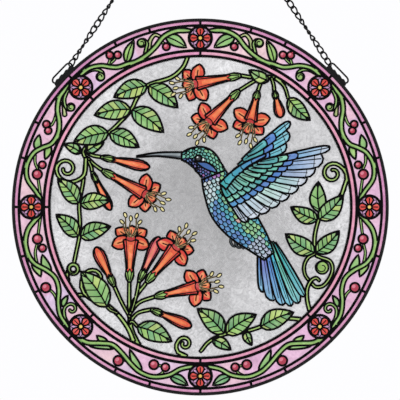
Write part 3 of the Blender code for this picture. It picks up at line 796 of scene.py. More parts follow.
def lead_tree(rounded):
    """Lead or painted line: a bar along each path, through the glass and out on both faces."""
    tree, add = node_tree("lead_line" if rounded else "painted_line",
                          [("Width", "Float"), ("Depth", "Float"), ("Material", "Material")])
    given = add("NodeGroupInput").outputs
    section = add("GeometryNodeCurvePrimitiveQuadrilateral",
                  {"Width": given["Width"], "Height": given["Depth"]})
    profile = section.outputs["Curve"]
    if rounded:
        radius = add("ShaderNodeMath", {0: given["Width"], 1: 0.46}, operation="MULTIPLY")
        fillet = add("GeometryNodeFilletCurve", {"Curve": profile, "Radius": radius.outputs[0], "Count": 2},
                     mode="POLY")
        profile = fillet.outputs[0]
    level = add("GeometryNodeSetCurveNormal", {"Curve": given["Geometry"]}, mode="Z_UP")
    swept = add("GeometryNodeCurveToMesh",
                {"Curve": level.outputs[0], "Profile Curve": profile, "Fill Caps": True})
    upright = add("GeometryNodeTransform", {"Geometry": swept.outputs[0], "Translation": PANEL_CENTRE,
                                            "Rotation": (math.pi / 2, 0, 0)})
    shaded = add("GeometryNodeSetShadeSmooth", {"Geometry": upright.outputs[0], "Shade Smooth": rounded})
    end_tree(add, shaded.outputs[0], given["Material"])
    return tree


def made_by(tree, holder, values):
    """Gives the holder the tree and its values, and returns what it makes as a plain mesh."""
    modifier = holder.modifiers.new(tree.name, "NODES")
    modifier.node_group = tree
    for item in tree.interface.items_tree:
        if item.item_type == "SOCKET" and item.in_out == "INPUT" and item.name in values:
            modifier[item.identifier] = values[item.name]
    bpy.context.view_layer.update()
    mesh = bpy.data.meshes.new_from_object(holder.evaluated_get(bpy.context.evaluated_depsgraph_get()))
    if not mesh.polygons:
        raise RuntimeError(f"{holder.name} came out empty from {tree.name}")
    data = holder.data
    bpy.data.objects.remove(holder, do_unlink=True)
    (bpy.data.curves if isinstance(data, bpy.types.Curve) else bpy.data.meshes).remove(data)
    return mesh


def path_holder(name, paths, closed=False):
    """A flat curve object with one straight-sided spline for each path."""
    curve = bpy.data.curves.new(name, "CURVE")
    curve.dimensions = "3D"
    for path in paths:
        spline = curve.splines.new("POLY")
        loop = closed or (len(path) > 3 and (path[0] - path[-1]).length < 1e-7)
        points = path[:-1] if loop and not closed else path
        spline.points.add(len(points) - 1)
        for point, place in zip(spline.points, points):
            point.co = (place[0], place[1], 0, 1)
        spline.use_cyclic_u = loop
    return link_object(name, curve)


def lead_object(name, paths, width, depth, material, rounded=True, closed=False):
    tree = bpy.data.node_groups.get("lead_line" if rounded else "painted_line") or lead_tree(rounded)
    mesh = made_by(tree, path_holder(name + "_path", paths, closed),
                   {"Width": width, "Depth": depth, "Material": material})
    return link_object(name, mesh)


def joined_object(name, objects):
    """Several objects of one kind as one mesh."""
    shape = bmesh.new()
    for piece in objects:
        shape.from_mesh(piece.data)
    mesh = bpy.data.meshes.new(name)
    shape.to_mesh(mesh)
    shape.free()
    for material in objects[0].data.materials:
        mesh.materials.append(material)
    for piece in objects:
        old = piece.data
        bpy.data.objects.remove(piece, do_unlink=True)
        bpy.data.meshes.remove(old)
    return link_object(name, mesh)


def glaze(pattern, prefix, slot_of, nodes_of):
    """Makes the plates, lead and painted lines of a pattern."""
    plates, lines = pattern.cut(settings().lead_width)
    if not plates or not lines:
        raise RuntimeError(f"The drawing of the {prefix} shows no glass or no lines")
    for piece, cells in sorted(plates.items()):
        see_through = any(paint is None for _, paint in cells)
        plate = plate_object(piece + "_glass", pattern.cut_corners, cells, coloured_glass(),
                             clear_glass() if see_through else None)
        finished(plate, slot_of(piece), nodes_of(piece))
    made = {"lead": [], "paint": []}
    for (kind, width), paths in sorted(lines.items()):
        leaded = kind == "lead"
        proud = 2 * settings().crown if leaded else PAINT_DEPTH + width * PAINT_DEPTH_SHARE
        name = f"{prefix}_{kind}_{len(made[kind])}"
        bar = lead_object(name, paths, width, GLASS_THICKNESS + proud, lead_metal(), rounded=leaded)
        made[kind].append(bar)
    for kind, label in (("lead", "_lead_lines"), ("paint", "_painted_lines")):
        if made[kind]:
            finished(joined_object(prefix + label, made[kind]), "lead")


# Materials

def new_material(name):
    """A material, a function that adds a node to it and one that fills the shader's inputs."""
    material = bpy.data.materials.new(name)
    material.use_nodes = True
    tree = material.node_tree
    shader = tree.nodes["Principled BSDF"]
    return material, node_adder(tree), lambda sources: fill_inputs(tree, shader, sources)


def ranged(add, source, low, high, first=0.0, last=1.0):
    node = add("ShaderNodeMapRange", {0: source, 1: first, 2: last, 3: low, 4: high})
    return node.outputs[0]


def coloured_glass():
    """Streaky opalescent glass: its cell's own colour, with lighter and darker drifts, a wavy face and a
    faint painted glow.
    """
    if "streaky_glass" in bpy.data.materials:
        return bpy.data.materials["streaky_glass"]
    material, add, shade = new_material("streaky_glass")
    place = add("ShaderNodeTexCoord").outputs["Object"]
    paint = add("ShaderNodeAttribute", attribute_name="paint").outputs["Color"]
    drift = add("ShaderNodeTexNoise", {"Vector": place, "Scale": 95.0, "Detail": 4.0, "Roughness": 0.62,
                                       "Distortion": 1.6}).outputs["Fac"]
    grain = add("ShaderNodeTexNoise", {"Vector": place, "Scale": 480.0, "Detail": 2.0}).outputs["Fac"]
    light = ranged(add, drift, 0.68, 0.94, 0.3, 0.7)
    speck = ranged(add, grain, 0.94, 1.06, 0.3, 0.7)
    tone = add("ShaderNodeMath", {0: light, 1: speck}, operation="MULTIPLY").outputs[0]
    scaled = add("ShaderNodeVectorMath", {0: paint, "Scale": tone}, operation="SCALE").outputs[0]
    pale = ranged(add, drift, 0.0, 0.10, 0.52, 0.75)
    mixing = add("ShaderNodeMix", {"Factor": pale, 6: scaled, 7: (0.92, 0.93, 0.95, 1.0)}, data_type="RGBA")
    ripple = add("ShaderNodeTexNoise", {"Vector": place, "Scale": 160.0, "Detail": 2.0}).outputs["Fac"]
    bump = add("ShaderNodeBump", {"Height": ripple, "Strength": 0.18, "Distance": 0.0004})
    # The faint emission in the cell's own colour is a painted glow, as of light shining through the glass.
    shade({"Base Color": mixing.outputs[2], "Roughness": ranged(add, grain, 0.14, 0.30),
           "Normal": bump.outputs[0], "Emission Color": mixing.outputs[2], "Emission Strength": 0.04,
           "Coat Weight": 0.25, "Coat Roughness": 0.08})
    return material


def clear_glass():
    """Clear hammered glass: grey in its mottled middle, lighter towards the edge, and see-through."""
    if "clear_hammered_glass" in bpy.data.materials:
        return bpy.data.materials["clear_hammered_glass"]
    material, add, shade = new_material("clear_hammered_glass")
    place = add("ShaderNodeTexCoord").outputs["Object"]
    centred = add("ShaderNodeVectorMath", {0: place, 1: PANEL_CENTRE}, operation="SUBTRACT").outputs[0]
    reach = add("ShaderNodeVectorMath", {0: centred}, operation="LENGTH").outputs["Value"]
    mottle = add("ShaderNodeTexNoise", {"Vector": place, "Scale": 230.0, "Detail": 3.0, "Roughness": 0.6,
                                        "Distortion": 1.4}).outputs["Fac"]
    cloud = add("ShaderNodeTexNoise", {"Vector": place, "Scale": 28.0, "Detail": 1.0}).outputs["Fac"]
    rings = ranged(add, reach, 0.80, 2.0, 0.03, 0.112)
    marks = ranged(add, mottle, 0.58, 1.48, 0.3, 0.7)
    drift = ranged(add, cloud, 0.85, 1.15, 0.35, 0.65)
    tone = add("ShaderNodeMath", {0: rings, 1: marks}, operation="MULTIPLY").outputs[0]
    tone = add("ShaderNodeMath", {0: tone, 1: drift}, operation="MULTIPLY").outputs[0]
    scaled = {0: tuple(settings().clear_tint), "Scale": tone}
    tint = add("ShaderNodeVectorMath", scaled, operation="SCALE").outputs[0]
    bump = add("ShaderNodeBump", {"Height": mottle, "Strength": 0.5, "Distance": 0.0008})
    shade({"Base Color": tint, "Normal": bump.outputs[0], "Alpha": settings().clear_cover, "Roughness": 0.12})
    return material


def dark_metal(name, colour, roughness, shine):
    """Near-black metal with a fine uneven face."""
    if name in bpy.data.materials:
        return bpy.data.materials[name]
    material, add, shade = new_material(name)
    place = add("ShaderNodeTexCoord").outputs["Object"]
    wear = add("ShaderNodeTexNoise", {"Vector": place, "Scale": 260.0, "Detail": 4.0}).outputs["Fac"]
    tone = ranged(add, wear, 0.7, 1.5, 0.35, 0.7)
    worn = add("ShaderNodeVectorMath", {0: colour, "Scale": tone}, operation="SCALE").outputs[0]
    rough = ranged(add, wear, roughness - 0.08, roughness + 0.10, 0.3, 0.7)
    bump = add("ShaderNodeBump", {"Height": wear, "Strength": 0.15, "Distance": 0.0002})
    shade({"Base Color": worn, "Roughness": rough, "Normal": bump.outputs[0], "Specular IOR Level": shine})
    return material


def lead_metal():
    return dark_metal("black_patina_lead", (0.0022, 0.0021, 0.0024), 0.55, 0.04)


def black_metal():
    return dark_metal("satin_black_metal", (0.006, 0.006, 0.0065), 0.45, 0.12)


# Leaves, flowers and stems

def add_leaf(pattern, piece, base, tip, bend, random_green, width=LEAF_WIDTH,
             neck=LEAF_NECK * PICTURE_RADIUS / 2, within=None, veins=5, line=None):
    """A leaf with a midrib and side veins that sweep forward, and its cells in several greens."""
    left, right, middle = leaf_sides(base, tip, neck, bend, width=width)
    fine = settings().fine_width
    own = pattern.shape(piece, right + left[-2::-1], even(random_green.choice(LEAF_GREENS)),
                        line or settings().line_width, within)
    if veins < 2:
        green = random_green.choice(LEAF_GREENS)
        for edge, paint in ((left, green), (right, mixed(green, LEAF_SHADE, 0.2))):
            pattern.shape(piece, middle + [p + (q - p) * 1.05 for p, q in zip(middle, edge)][-2:0:-1],
                          fading(paint, mixed(paint, LEAF_SHINE, 0.35), base, tip), 0.0, own)
        if veins:
            pattern.stroke(middle[:-1], fine * 1.3, own)
        return
    joints = ((0.08 + 0.70 * i / (veins - 1), 0.27 + 0.66 * i / (veins - 1)) for i in range(veins))
    cuts = [(0.0, 0.0), *joints, (1.0, 1.0)]
    dark_half = random_green.random() < 0.5
    for edge, dark in ((left, dark_half), (right, not dark_half)):
        for (near, near_edge), (far, far_edge) in zip(cuts, cuts[1:]):
            cell = [smooth(middle, near + (far - near) * t) for t in (0, 0.5, 1)]
            for t in (0, 0.25, 0.5, 0.75, 1):
                share = far_edge + (near_edge - far_edge) * t
                inner = smooth(middle, share)
                if 0 < share < 1:
                    cell.append(inner + (smooth(edge, share) - inner) * 1.03)
            green = random_green.choice(LEAF_GREENS)
            green = mixed(green, LEAF_SHADE, 0.22 if dark else 0.0)
            light = mixed(green, LEAF_SHINE, 0.28)
            pattern.shape(piece, cell, fading(green, light, cell[0], cell[-2]), fine, own)
    pattern.stroke(middle, fine * 1.5, own)


def add_leaf_pair(pattern, piece, base, first_tip, second_tip, random_green):
    base, first_tip, second_tip = Vector(base), Vector(first_tip), Vector(second_tip)
    half_angle = (first_tip - base).angle(second_tip - base) / 2
    shift = PAIR_NECK * (0.8 + 1 / math.tan(half_angle))
    for tip, bend in ((first_tip, 1), (second_tip, -1)):
        start = base + (tip - base).normalized() * shift * 0.45
        add_leaf(pattern, piece, in_picture(start), in_picture(tip), bend, random_green,
                 neck=PAIR_NECK * 0.5 * PICTURE_RADIUS)


def add_calyx(pattern, piece, base, way, half, length):
    """The green cup under a flower or bud, with three teeth."""
    end = base + way * length
    edge = [(u, half * v) for u, v in CALYX_EDGE]
    outline = along_axis(base, end, [(u, -v) for u, v in edge] + [(1.32, 0.0)] + edge[::-1])
    paint = fading(mixed(CALYX_GREEN, (0.05, 0.2, 0.04), 0.35), CALYX_GREEN, base, end)
    own = pattern.shape(piece, outline, paint, settings().line_width)
    for side in (-1, 1):
        pattern.stroke(along_axis(base, end, [(0.15, side * half * 0.10), (0.9, side * half * 0.30)]),
                       settings().fine_width, own)


def add_tube(pattern, piece, base, mouth, edge, middle_colour, edge_colour):
    """A tube that is light along its middle and red along its sides, with fine lines. Its palest core is a
    painted highlight.
    """
    paint = fading(mixed(edge_colour, ORANGE, 0.15), edge_colour, base, mouth)
    own = pattern.shape(piece, mirrored(base, mouth, edge), paint, settings().line_width)
    inner = [(u, v * 0.62) for u, v in edge[1:-1]]
    paint = fading(middle_colour, mixed(middle_colour, edge_colour, 0.55), base, mouth)
    pattern.shape(piece, mirrored(base, mouth, inner), paint, 0.0, own)
    # The pale core down the middle of the tube is a painted highlight.
    highlight_core = [(0.05 + u * 0.84, v * 0.26) for u, v in edge[1:-1]]
    paint = fading(mixed(middle_colour, ORANGE_HIGHLIGHT, 0.8), middle_colour, base, mouth)
    pattern.shape(piece, mirrored(base, mouth, highlight_core), paint, 0.0, own)
    for side in (-1, 1):
        line = along_axis(base, mouth, [(u, side * v) for u, v in inner])
        pattern.stroke(smooth_line(line, 2), settings().fine_width, own)


def add_bud(pattern, piece, base, tip, width, pinkness=0.0):
    base, tip = in_picture(base), in_picture(tip)
    half = width * PICTURE_RADIUS / 2
    red = mixed(RED, CRIMSON, pinkness)
    light = mixed(ORANGE, linear(240, 110, 120), pinkness)
    add_tube(pattern, piece, base, tip, [(u, v * half) for u, v in BUD_EDGE] + [(1.0, 0.0)], light, red)
    add_calyx(pattern, piece, base, (tip - base).normalized(), half, (tip - base).length * CALYX_SHARE)


def add_flower(pattern, piece, base, mouth, width, seed):
    """A trumpet flower: tube, five petals that turn back, a dark throat, stamens and calyx."""
    base, mouth = in_picture(base), in_picture(mouth)
    half = width * PICTURE_RADIUS / 2
    way = (mouth - base).normalized()
    tones = random.Random(seed)
    for turn in PETAL_TURNS[1:]:
        add_petal(pattern, piece, mouth, way, turn, tones)
    add_tube(pattern, piece, base, mouth, [(u, v * half) for u, v in TUBE_EDGE] + [(1.03, 0.0)], ORANGE, RED)
    add_petal(pattern, piece, mouth, way, PETAL_TURNS[0], tones)
    angle = math.degrees(math.atan2(way.y, way.x))
    throat = oval(mouth + way * 0.006 * PICTURE_RADIUS, 0.020 * PICTURE_RADIUS, half * 0.72, angle, 14)
    pattern.shape(piece, throat, even(DEEP_RED), settings().fine_width)
    add_calyx(pattern, piece, base, way, half, (mouth - base).length * CALYX_SHARE)
    return lambda: add_stamens(pattern, mouth, way)


def add_petal(pattern, piece, mouth, way, turn, tones):
    out = turned(way, turn)
    reach = PETAL_REACH[abs(turn)] * PICTURE_RADIUS
    start = mouth - out * reach * 0.10
    tip = mouth + out * reach * 1.06
    wide = reach * 0.36 if turn else reach * 0.5
    lean = across(out) * (0.05 if turn > 0 else -0.05) * reach
    colour = mixed(ORANGE, RED, tones.uniform(0.3, 1.0))
    outline = along_axis(start, tip, [(u, -v * wide) for u, v in PETAL_EDGE] + [(1.0, 0.0)]
                         + [(u, v * wide) for u, v in PETAL_EDGE[::-1]])
    outline = [p + lean * ((p - start).dot(out) / reach)**2 for p in outline]
    paint = fading(mixed(colour, RED, 0.7), colour, start, tip)
    own = pattern.shape(piece, outline, paint, settings().line_width)
    # The paler patch down the middle of the petal is a painted highlight.
    light = [(u * 0.8 + 0.14, v * wide * 0.36) for u, v in PETAL_EDGE[1:]]
    paint = fading(colour, mixed(colour, ORANGE_HIGHLIGHT, 0.75), start, tip)
    pattern.shape(piece, mirrored(start, tip, light), paint, 0.0, own)
    fold = [start + out * reach * 0.25, start + out * reach * 0.85 + lean * 0.4]
    pattern.stroke(fold, settings().fine_width, own)


def add_stamens(pattern, mouth, way):
    radius = PICTURE_RADIUS
    for turn, reach in zip(STAMEN_TURNS, STAMEN_REACH):
        out = turned(way, turn)
        end = mouth + out * reach * radius
        bend = across(out) * reach * radius * 0.10 * (1 if turn > 0 else -1)
        path = smooth_line([mouth + out * 0.015 * radius, (mouth + end) / 2 + bend, end], 3)
        filament = ribbon(path, 0.0125 * radius, 0.009 * radius)
        pattern.shape(None, filament, even(mixed(FILAMENT, DARK, 0.25)))
        pattern.stroke(path, settings().fine_width * 0.7)
        angle = math.degrees(math.atan2(out.y, out.x)) + turn * 0.6
        anther = oval(end + out * 0.010 * radius, 0.019 * radius, 0.0105 * radius, angle, 12)
        pattern.shape(None, anther, even(ANTHER), settings().fine_width)


def add_stem(pattern, path, first, last, colours=(STEM_GREEN, STEM_HIGHLIGHT), line=None, round_end=False,
             pointed=False):
    """A stem or vine painted on the glass, with a lighter strip along its middle that is a painted highlight.
    """
    dark, light = colours
    own = pattern.shape(None, ribbon(path, first, last, round_end, pointed), even(dark),
                        line or settings().stem_line)
    side = [across(path[min(i + 1, len(path) - 1)] - path[max(i - 1, 0)]) for i in range(len(path))]
    # The lighter strip, a little to one side of the middle, is a painted highlight.
    highlight_path = [p + s * first * 0.10 for p, s in zip(path, side)]
    pattern.shape(None, ribbon(highlight_path, first * 0.42, last * 0.42, pointed=pointed), even(light), 0.0, own)


def add_coil(pattern, centre, radius, opening, colour, sense=1):
    """A tight coil: a disc with a spiral line from its edge to near its middle."""
    # Darker at its left and lighter towards its upper right: painted shade and a painted highlight.
    paint = fading(mixed(colour, DARK, 0.12), mixed(colour, STEM_HIGHLIGHT, 0.5), centre - Vector((radius, 0)),
                   centre + Vector((radius, radius)))
    own = pattern.shape(None, oval(centre, radius, radius, opening, 20), paint, settings().stem_line)
    winding = []
    for i in range(17):
        share = i / 16
        reach = radius * (0.98 - 0.66 * share)
        angle = opening + sense * 400 * share
        winding.append(centre + turned(Vector((reach, 0)), angle))
    pattern.stroke(winding, settings().fine_width * 1.1, own)


# The bird

def body_frame(share):
    """Place, direction along and half width of the bird's body at a share of its spine."""
    spine = [Vector(p) for p in BIRD_SPINE]
    way = (smooth(spine, share + 0.01) - smooth(spine, share - 0.01)).normalized()
    reach = smooth([Vector((w, 0)) for w in BIRD_HALF_WIDTHS], share).x
    return smooth(spine, share), way, reach


def spine_outline(spine, half_widths, first, last, steps):
    line = [Vector(p) for p in spine]
    widths = [Vector((w, 0)) for w in half_widths]
    left, right = [], []
    for i in range(steps + 1):
        share = first + (last - first) * i / steps
        side = across(smooth(line, share + 0.01) - smooth(line, share - 0.01))
        reach = smooth(widths, share).x
        left.append(in_picture(smooth(line, share) + side * reach))
        right.append(in_picture(smooth(line, share) - side * reach))
    return right + left[::-1]


def add_scales(pattern, piece, within, first, last, rows, low_side, high_side, size, colour_at, tones):
    """Rows of small feathers that overlap from the head to the tail, drawn from the tail up."""
    for row in range(rows, -1, -1):
        share = first + (last - first) * row / rows
        spine_point, way, reach = body_frame(share)
        span = reach * (high_side - low_side) * PICTURE_RADIUS
        count = max(1, round(span / size))
        for k in range(count + 1):
            side = low_side + (high_side - low_side) * (k + (0.5 if row % 2 else 0.0)) / count
            if side > high_side + 0.1:
                continue
            centre = in_picture(spine_point + across(way) * reach * side)
            half = span / count * 0.54
            long = half * 1.25
            corners = [(-1, -1.6), (-1, 0.0), (-0.72, 0.62), (0, 1), (0.72, 0.62), (1, 0.0), (1, -1.6)]
            outline = [centre + across(way) * x * half + way * y * long for x, y in corners]
            colour = colour_at(share, side, tones)
            # Each scale is painted darker at its covered base, as painted shade, and a little whiter at its
            # tip, as a painted highlight.
            paint = fading(mixed(colour, FEATHER_SHADE, 0.30), mixed(colour, (1, 1, 1), 0.10),
                           centre - way * long * 0.8, centre + way * long)
            pattern.shape(piece, outline, paint, settings().fine_width, within)


def crown_colour(share, side, tones):
    if side > 0.62 and share > 0.22:
        return mixed(MINT, LIME, tones.uniform(0, 0.6))
    return mixed(MINT, TEAL, tones.uniform(0.1, 0.9))


def throat_colour(share, side, tones):
    if share > 0.33 and tones.random() < 0.4:
        return MAGENTA if tones.random() < 0.5 else VIOLET
    return mixed(DEEP_BLUE, BLUE, tones.uniform(0.0, 0.9)) if tones.random() < 0.75 else VIOLET


def body_colour(share, side, tones):
    if share > 0.86 and side < 0.45:
        return mixed(LAVENDER, PALE_AQUA, tones.uniform(0.0, 0.7))
    if side > 0.72:
        return mixed(CYAN, TEAL, tones.uniform(0.0, 0.8))
    if share < 0.435 and side < 0.5:
        if side < -0.1:
            return mixed(DEEP_BLUE, BLUE, tones.uniform(0.0, 0.8))
        return mixed(MAGENTA, VIOLET, tones.random())
    if side < 0.42 - (share - 0.44) * 8:
        if share < 0.55:
            return mixed(WHITE, PALE_AQUA, tones.uniform(0.0, 1.0))
        return mixed(PALE_AQUA, CYAN, 0.5)
    if side < -0.42:
        return mixed(BLUE, CYAN, tones.uniform(0.0, 0.5))
    if side < -0.05:
        return mixed(CYAN, TEAL, tones.uniform(0.2, 1.0))
    if tones.random() < 0.05:
        return PEACH
    if side < 0.45:
        return mixed(TEAL, LIME, tones.uniform(0.45, 1.0))
    return mixed(MINT, LIME, tones.uniform(0.0, 0.9))


def feather_outline(root, tip, wide, blunt, outer=1.0):
    """A long feather with almost parallel sides and a rounded tip, and its outer side drawn in by a share."""
    stations = [*FEATHER_EDGE, (0.92, 0.86 + blunt), (0.98, 0.46 + blunt)]
    return along_axis(root, tip, [(u, -v * wide) for u, v in stations] + [(1.0, 0.0)]
                      + [(u, v * wide * outer) for u, v in stations[::-1]])


def add_fan(pattern, piece, fan, colours, tip_colour, rows, tones, hatch=True):
    """A wing or a tail: long feathers, then rows of coverts nearer the arm. Each row is (share, colours)."""
    radius = PICTURE_RADIUS
    shoulder, wrist = in_picture(fan["shoulder"]), in_picture(fan["wrist"])
    tips = [in_picture(p) for p in fan["tips"]]
    count = fan["feathers"]
    lead = (shoulder + tips[0]) / 2 + across(tips[0] - shoulder) * fan["lead_bulge"] * 2 * radius
    arm = [bow((shoulder, lead, tips[0]), i / 12) for i in range(13)]
    inner_tip = bow(fan["tips"], 1.0) * radius
    pattern.shape(piece, [*arm, (wrist + tips[1]) / 2, inner_tip],
                  even(colours[0]), settings().line_width)
    fine = settings().fine_width
    for i in range(count - 1, -1, -1):
        share = i / (count - 1)
        root = wrist.lerp(shoulder, share)
        tip = bow(fan["tips"], share) * radius
        spread = bow(fan["tips"], min(share + 0.5 / count, 1)) - bow(fan["tips"], max(share - 0.5 / count, 0))
        wide = max(spread.length * radius * 0.76, 0.030 * radius)
        colour = smooth_colour(colours, share)
        own = pattern.shape(piece, feather_outline(root, tip, wide, 0.0, 0.7 if i == 0 else 1.0),
                            fading(colour, mixed(colour, tip_colour, 0.75), root.lerp(tip, 0.35), tip),
                            settings().line_width * 0.85)
        way = (tip - root).normalized()
        side = across(way)
        if hatch:
            edge, ahead = side * wide * 1.2, way * wide
            end = [root.lerp(tip, 0.84) - edge, tip - edge + ahead, tip + edge + ahead,
                   root.lerp(tip, 0.90) + edge]
            paint = even(mixed(tip_colour, colour, tones.uniform(0.0, 0.4)))
            pattern.shape(piece, end, paint, fine * 0.6, own)
        pattern.stroke([root, tip - way * wide * 0.2], fine, own)
        for offset in () if i == 0 else (-0.45, 0.45) if hatch else (-0.4,):
            pattern.stroke([root.lerp(tip, 0.3) + side * wide * offset * 0.8,
                            root.lerp(tip, 0.88) + side * wide * offset], fine * 0.62, own)
    for reach, row_colours, row_count in rows:
        for k in range(row_count - 1, -1, -1):
            share = k / (row_count - 1)
            root = wrist.lerp(shoulder, share)
            tip = bow(fan["tips"], share) * radius
            end = root.lerp(tip, reach)
            fanned = (tips[0] - inner_tip).length * reach
            step = (wrist - shoulder).length / row_count + fanned / row_count * 0.75
            outline = feather_outline(root - (tip - root).normalized() * 0.02 * radius, end, step * 0.56, 0.1,
                                      0.5 if k == 0 else 1.0)
            colour = mixed(smooth_colour(row_colours, share), tip_colour, tones.uniform(0.0, 0.18))
            own = pattern.shape(piece, outline, fading(mixed(colour, FEATHER_SHADE, 0.35), colour, root, end),
                                settings().line_width * 0.8)
            pattern.stroke([root, root.lerp(end, 0.8)], fine * 0.7, own)


def smooth_colour(colours, share):
    place = min(max(share, 0.0), 1.0) * (len(colours) - 1)
    i = min(int(place), len(colours) - 2)
    return mixed(colours[i], colours[i + 1], place - i)


def add_bird(pattern):
    tones = random.Random(7)
    radius = PICTURE_RADIUS
    line, fine = settings().line_width, settings().fine_width
    coverts = [(0.62, [BLUE, BLUE, CYAN], 6), (0.40, [TEAL, TEAL, DEEP_TEAL], 6)]
    add_fan(pattern, "bird_far_wing", FAR_WING, [CYAN, mixed(CYAN, TEAL, 0.5), mixed(TEAL, MINT, 0.5)],
            mixed(PALE_AQUA, CYAN, 0.4), coverts, tones)
    plumes = [TEAL, mixed(MINT, TEAL, 0.4), CYAN, BLUE, mixed(BLUE, VIOLET, 0.6), BLUE]
    add_fan(pattern, "bird_tail", TAIL, plumes, mixed(PALE_AQUA, CYAN, 0.5), [], tones, hatch=False)
    beak = spine_outline(BEAK, BEAK_HALF_WIDTHS, 0.0, 1.0, 8)
    own = pattern.shape("bird_beak", beak, even(mixed(SLATE, DARK, 0.55)), 0.0)
    # The paler strip along the top of the beak is a painted highlight.
    upper = [in_picture(p) + Vector((0, w * radius * 0.30)) for p, w in zip(BEAK, BEAK_HALF_WIDTHS)]
    pattern.shape("bird_beak", ribbon(smooth_line(upper, 4), 0.006 * radius, 0.020 * radius),
                  even(mixed(SLATE, WHITE, 0.25)), 0.0, own)
    for claw in CLAWS:
        path = smooth_line([in_picture(p) for p in claw], 4)
        outline = ribbon(path, 0.018 * radius, 0.008 * radius, True)
        pattern.shape(None, outline, even(mixed(SLATE, DARK, 0.7)), fine)
    outline = spine_outline(BIRD_SPINE, BIRD_HALF_WIDTHS, THROAT - 0.06, 1.0, 26)
    body = pattern.shape("bird_body", outline, even(TEAL), line)
    add_scales(pattern, "bird_body", body, 0.36, 1.0, 25, -1.0, 1.0, 3.5 * MM, body_colour, tones)
    outline = spine_outline(BIRD_SPINE, BIRD_HALF_WIDTHS, 0.0, THROAT, 18)
    head = pattern.shape("bird_head", outline, even(DEEP_TEAL), line)
    add_scales(pattern, "bird_head", head, 0.04, 0.39, 13, -1.0, -0.05, 2.5 * MM, throat_colour, tones)
    add_scales(pattern, "bird_head", head, 0.02, 0.39, 14, -0.02, 1.0, 2.6 * MM, crown_colour, tones)
    pattern.shape("bird_head", smooth_line([in_picture(p) for p in CHEEK], 3)[:-1],
                  even(mixed(DEEP_BLUE, TEAL, 0.15)), line * 0.8, head)
    eye = in_picture(EYE)
    lid = oval(eye + Vector((0.016, -0.004)) * radius, 0.030 * radius, 0.014 * radius, -16)
    pattern.shape("bird_head", lid, even(WHITE), fine, head)
    pattern.shape("bird_head", oval(eye, 0.022 * radius, 0.021 * radius), even(DARK), line, head)
    glint = oval(eye + Vector((-0.006, 0.007)) * radius, 0.0055 * radius, 0.0055 * radius, 0, 10)
    pattern.shape("bird_head", glint, even(WHITE), 0.0, head)
    plumes = [mixed(BLUE, CYAN, 0.5), mixed(BLUE, LAVENDER, 0.35), mixed(MINT, PALE_AQUA, 0.4),
              mixed(MINT, WHITE, 0.5), mixed(PALE_AQUA, LAVENDER, 0.5), mixed(LAVENDER, TEAL, 0.3)]
    coverts = [(0.54, [BLUE, BLUE, mixed(BLUE, CYAN, 0.4)], 11), (0.40, [MINT, TEAL, MINT], 11),
               (0.26, [TEAL, MINT, TEAL], 9)]
    add_fan(pattern, "bird_near_wing", NEAR_WING, plumes, mixed(LAVENDER, WHITE, 0.6), coverts, tones)
    lead_edge = [in_picture(p) for p in WING_EDGE]
    outline = ribbon(smooth_line(lead_edge, 5), 0.062 * radius, 0.020 * radius, True)
    own = pattern.shape("bird_near_wing", outline, fading(TEAL, BLUE, lead_edge[0], lead_edge[-1]), line)
    for share in (0.2, 0.42, 0.64, 0.84):
        place = smooth(lead_edge, share)
        way = (smooth(lead_edge, share + 0.05) - place).normalized()
        pattern.stroke([place + turned(way, a) * 0.034 * radius for a in (130, 180, 230)], fine, own)


def figure_slot(piece):
    """The record's material slot of a piece of the picture."""
    return FIGURE_SLOTS.get(piece) or FIGURE_SLOTS[piece.split("_")[0]]


def draw_picture():
    pattern = Pattern()
    radius = PICTURE_RADIUS
    greens = random.Random(11)
    pattern.shape("clear_ground", circle(radius + JOINT_GAP, 120), None)
    for points, first, last in STEMS:
        add_stem(pattern, smooth_line([in_picture(p) for p in points], 5), first * radius, last * radius)
    for lead_in, centre, size, turns in TENDRILS:
        path = [in_picture(p) for p in curl(lead_in, centre, size, turns)]
        add_stem(pattern, path, 0.023 * radius, 0.019 * radius, round_end=True)
    for centre, size, opening, hole in COILS:
        add_coil(pattern, in_picture(centre), size * radius, opening, STEM_GREEN)
        if hole:
            pattern.shape("clear_ground", oval(in_picture(centre), hole * radius, hole * radius), None,
                          settings().stem_line)
    for base, tip, bend in PAINTED_LEAVES:
        add_leaf(pattern, None, in_picture(base), in_picture(tip), bend, greens, veins=3)
    for number, (base, tip, width) in enumerate(PAINTED_BUDS):
        add_bud(pattern, None, base, tip, width, pinkness=0.8 * number)
    for name, base, first_tip, second_tip in LEAF_PAIRS:
        add_leaf_pair(pattern, name, base, first_tip, second_tip, greens)
    for name, base, tip, bend in SINGLE_LEAVES:
        add_leaf(pattern, name, in_picture(base), in_picture(tip), bend, greens)
    for name, base, tip, width in BUDS:
        add_bud(pattern, name, base, tip, width)
    stamens = [add_flower(pattern, name, base, mouth, width, seed)
               for seed, (name, base, mouth, width) in enumerate(FLOWERS)]
    for draw in stamens:
        draw()
    add_bird(pattern)
    return pattern


# Border

def field_point(pane, u, v):
    """A place in one pane of the border."""
    _, start, sense = pane
    reach = ROSETTE_ORBIT + v * (BORDER_RADIUS - MIDDLE_LEAD_RADIUS) / 2
    return polar(math.radians(start + sense * 45 * u), reach)


def field_line(pane, points):
    return smooth_line([field_point(pane, u, v) for u, v in points], 5)


def add_pane(pattern, pane, name, tones):
    """The pale glass of one pane, in six drifts of colour."""
    outer = [field_point(pane, i / 12, 1.0) for i in range(13)]
    inner = [field_point(pane, i / 12, -1.0) for i in range(13)]
    own = pattern.shape(name, inner + outer[::-1], even(tuple(settings().field_pink)))
    for k in range(6):
        low, high = k / 6, (k + 1) / 6
        corners = [field_point(pane, u, v) for u, v in ((low, -1), (high, -1), (high, 1), (low, 1))]
        paint = fading(tones.choice(FIELD_DRIFTS), tones.choice(FIELD_DRIFTS), corners[0], corners[2])
        pattern.shape(name, corners, paint, 0.0, own)
    return own


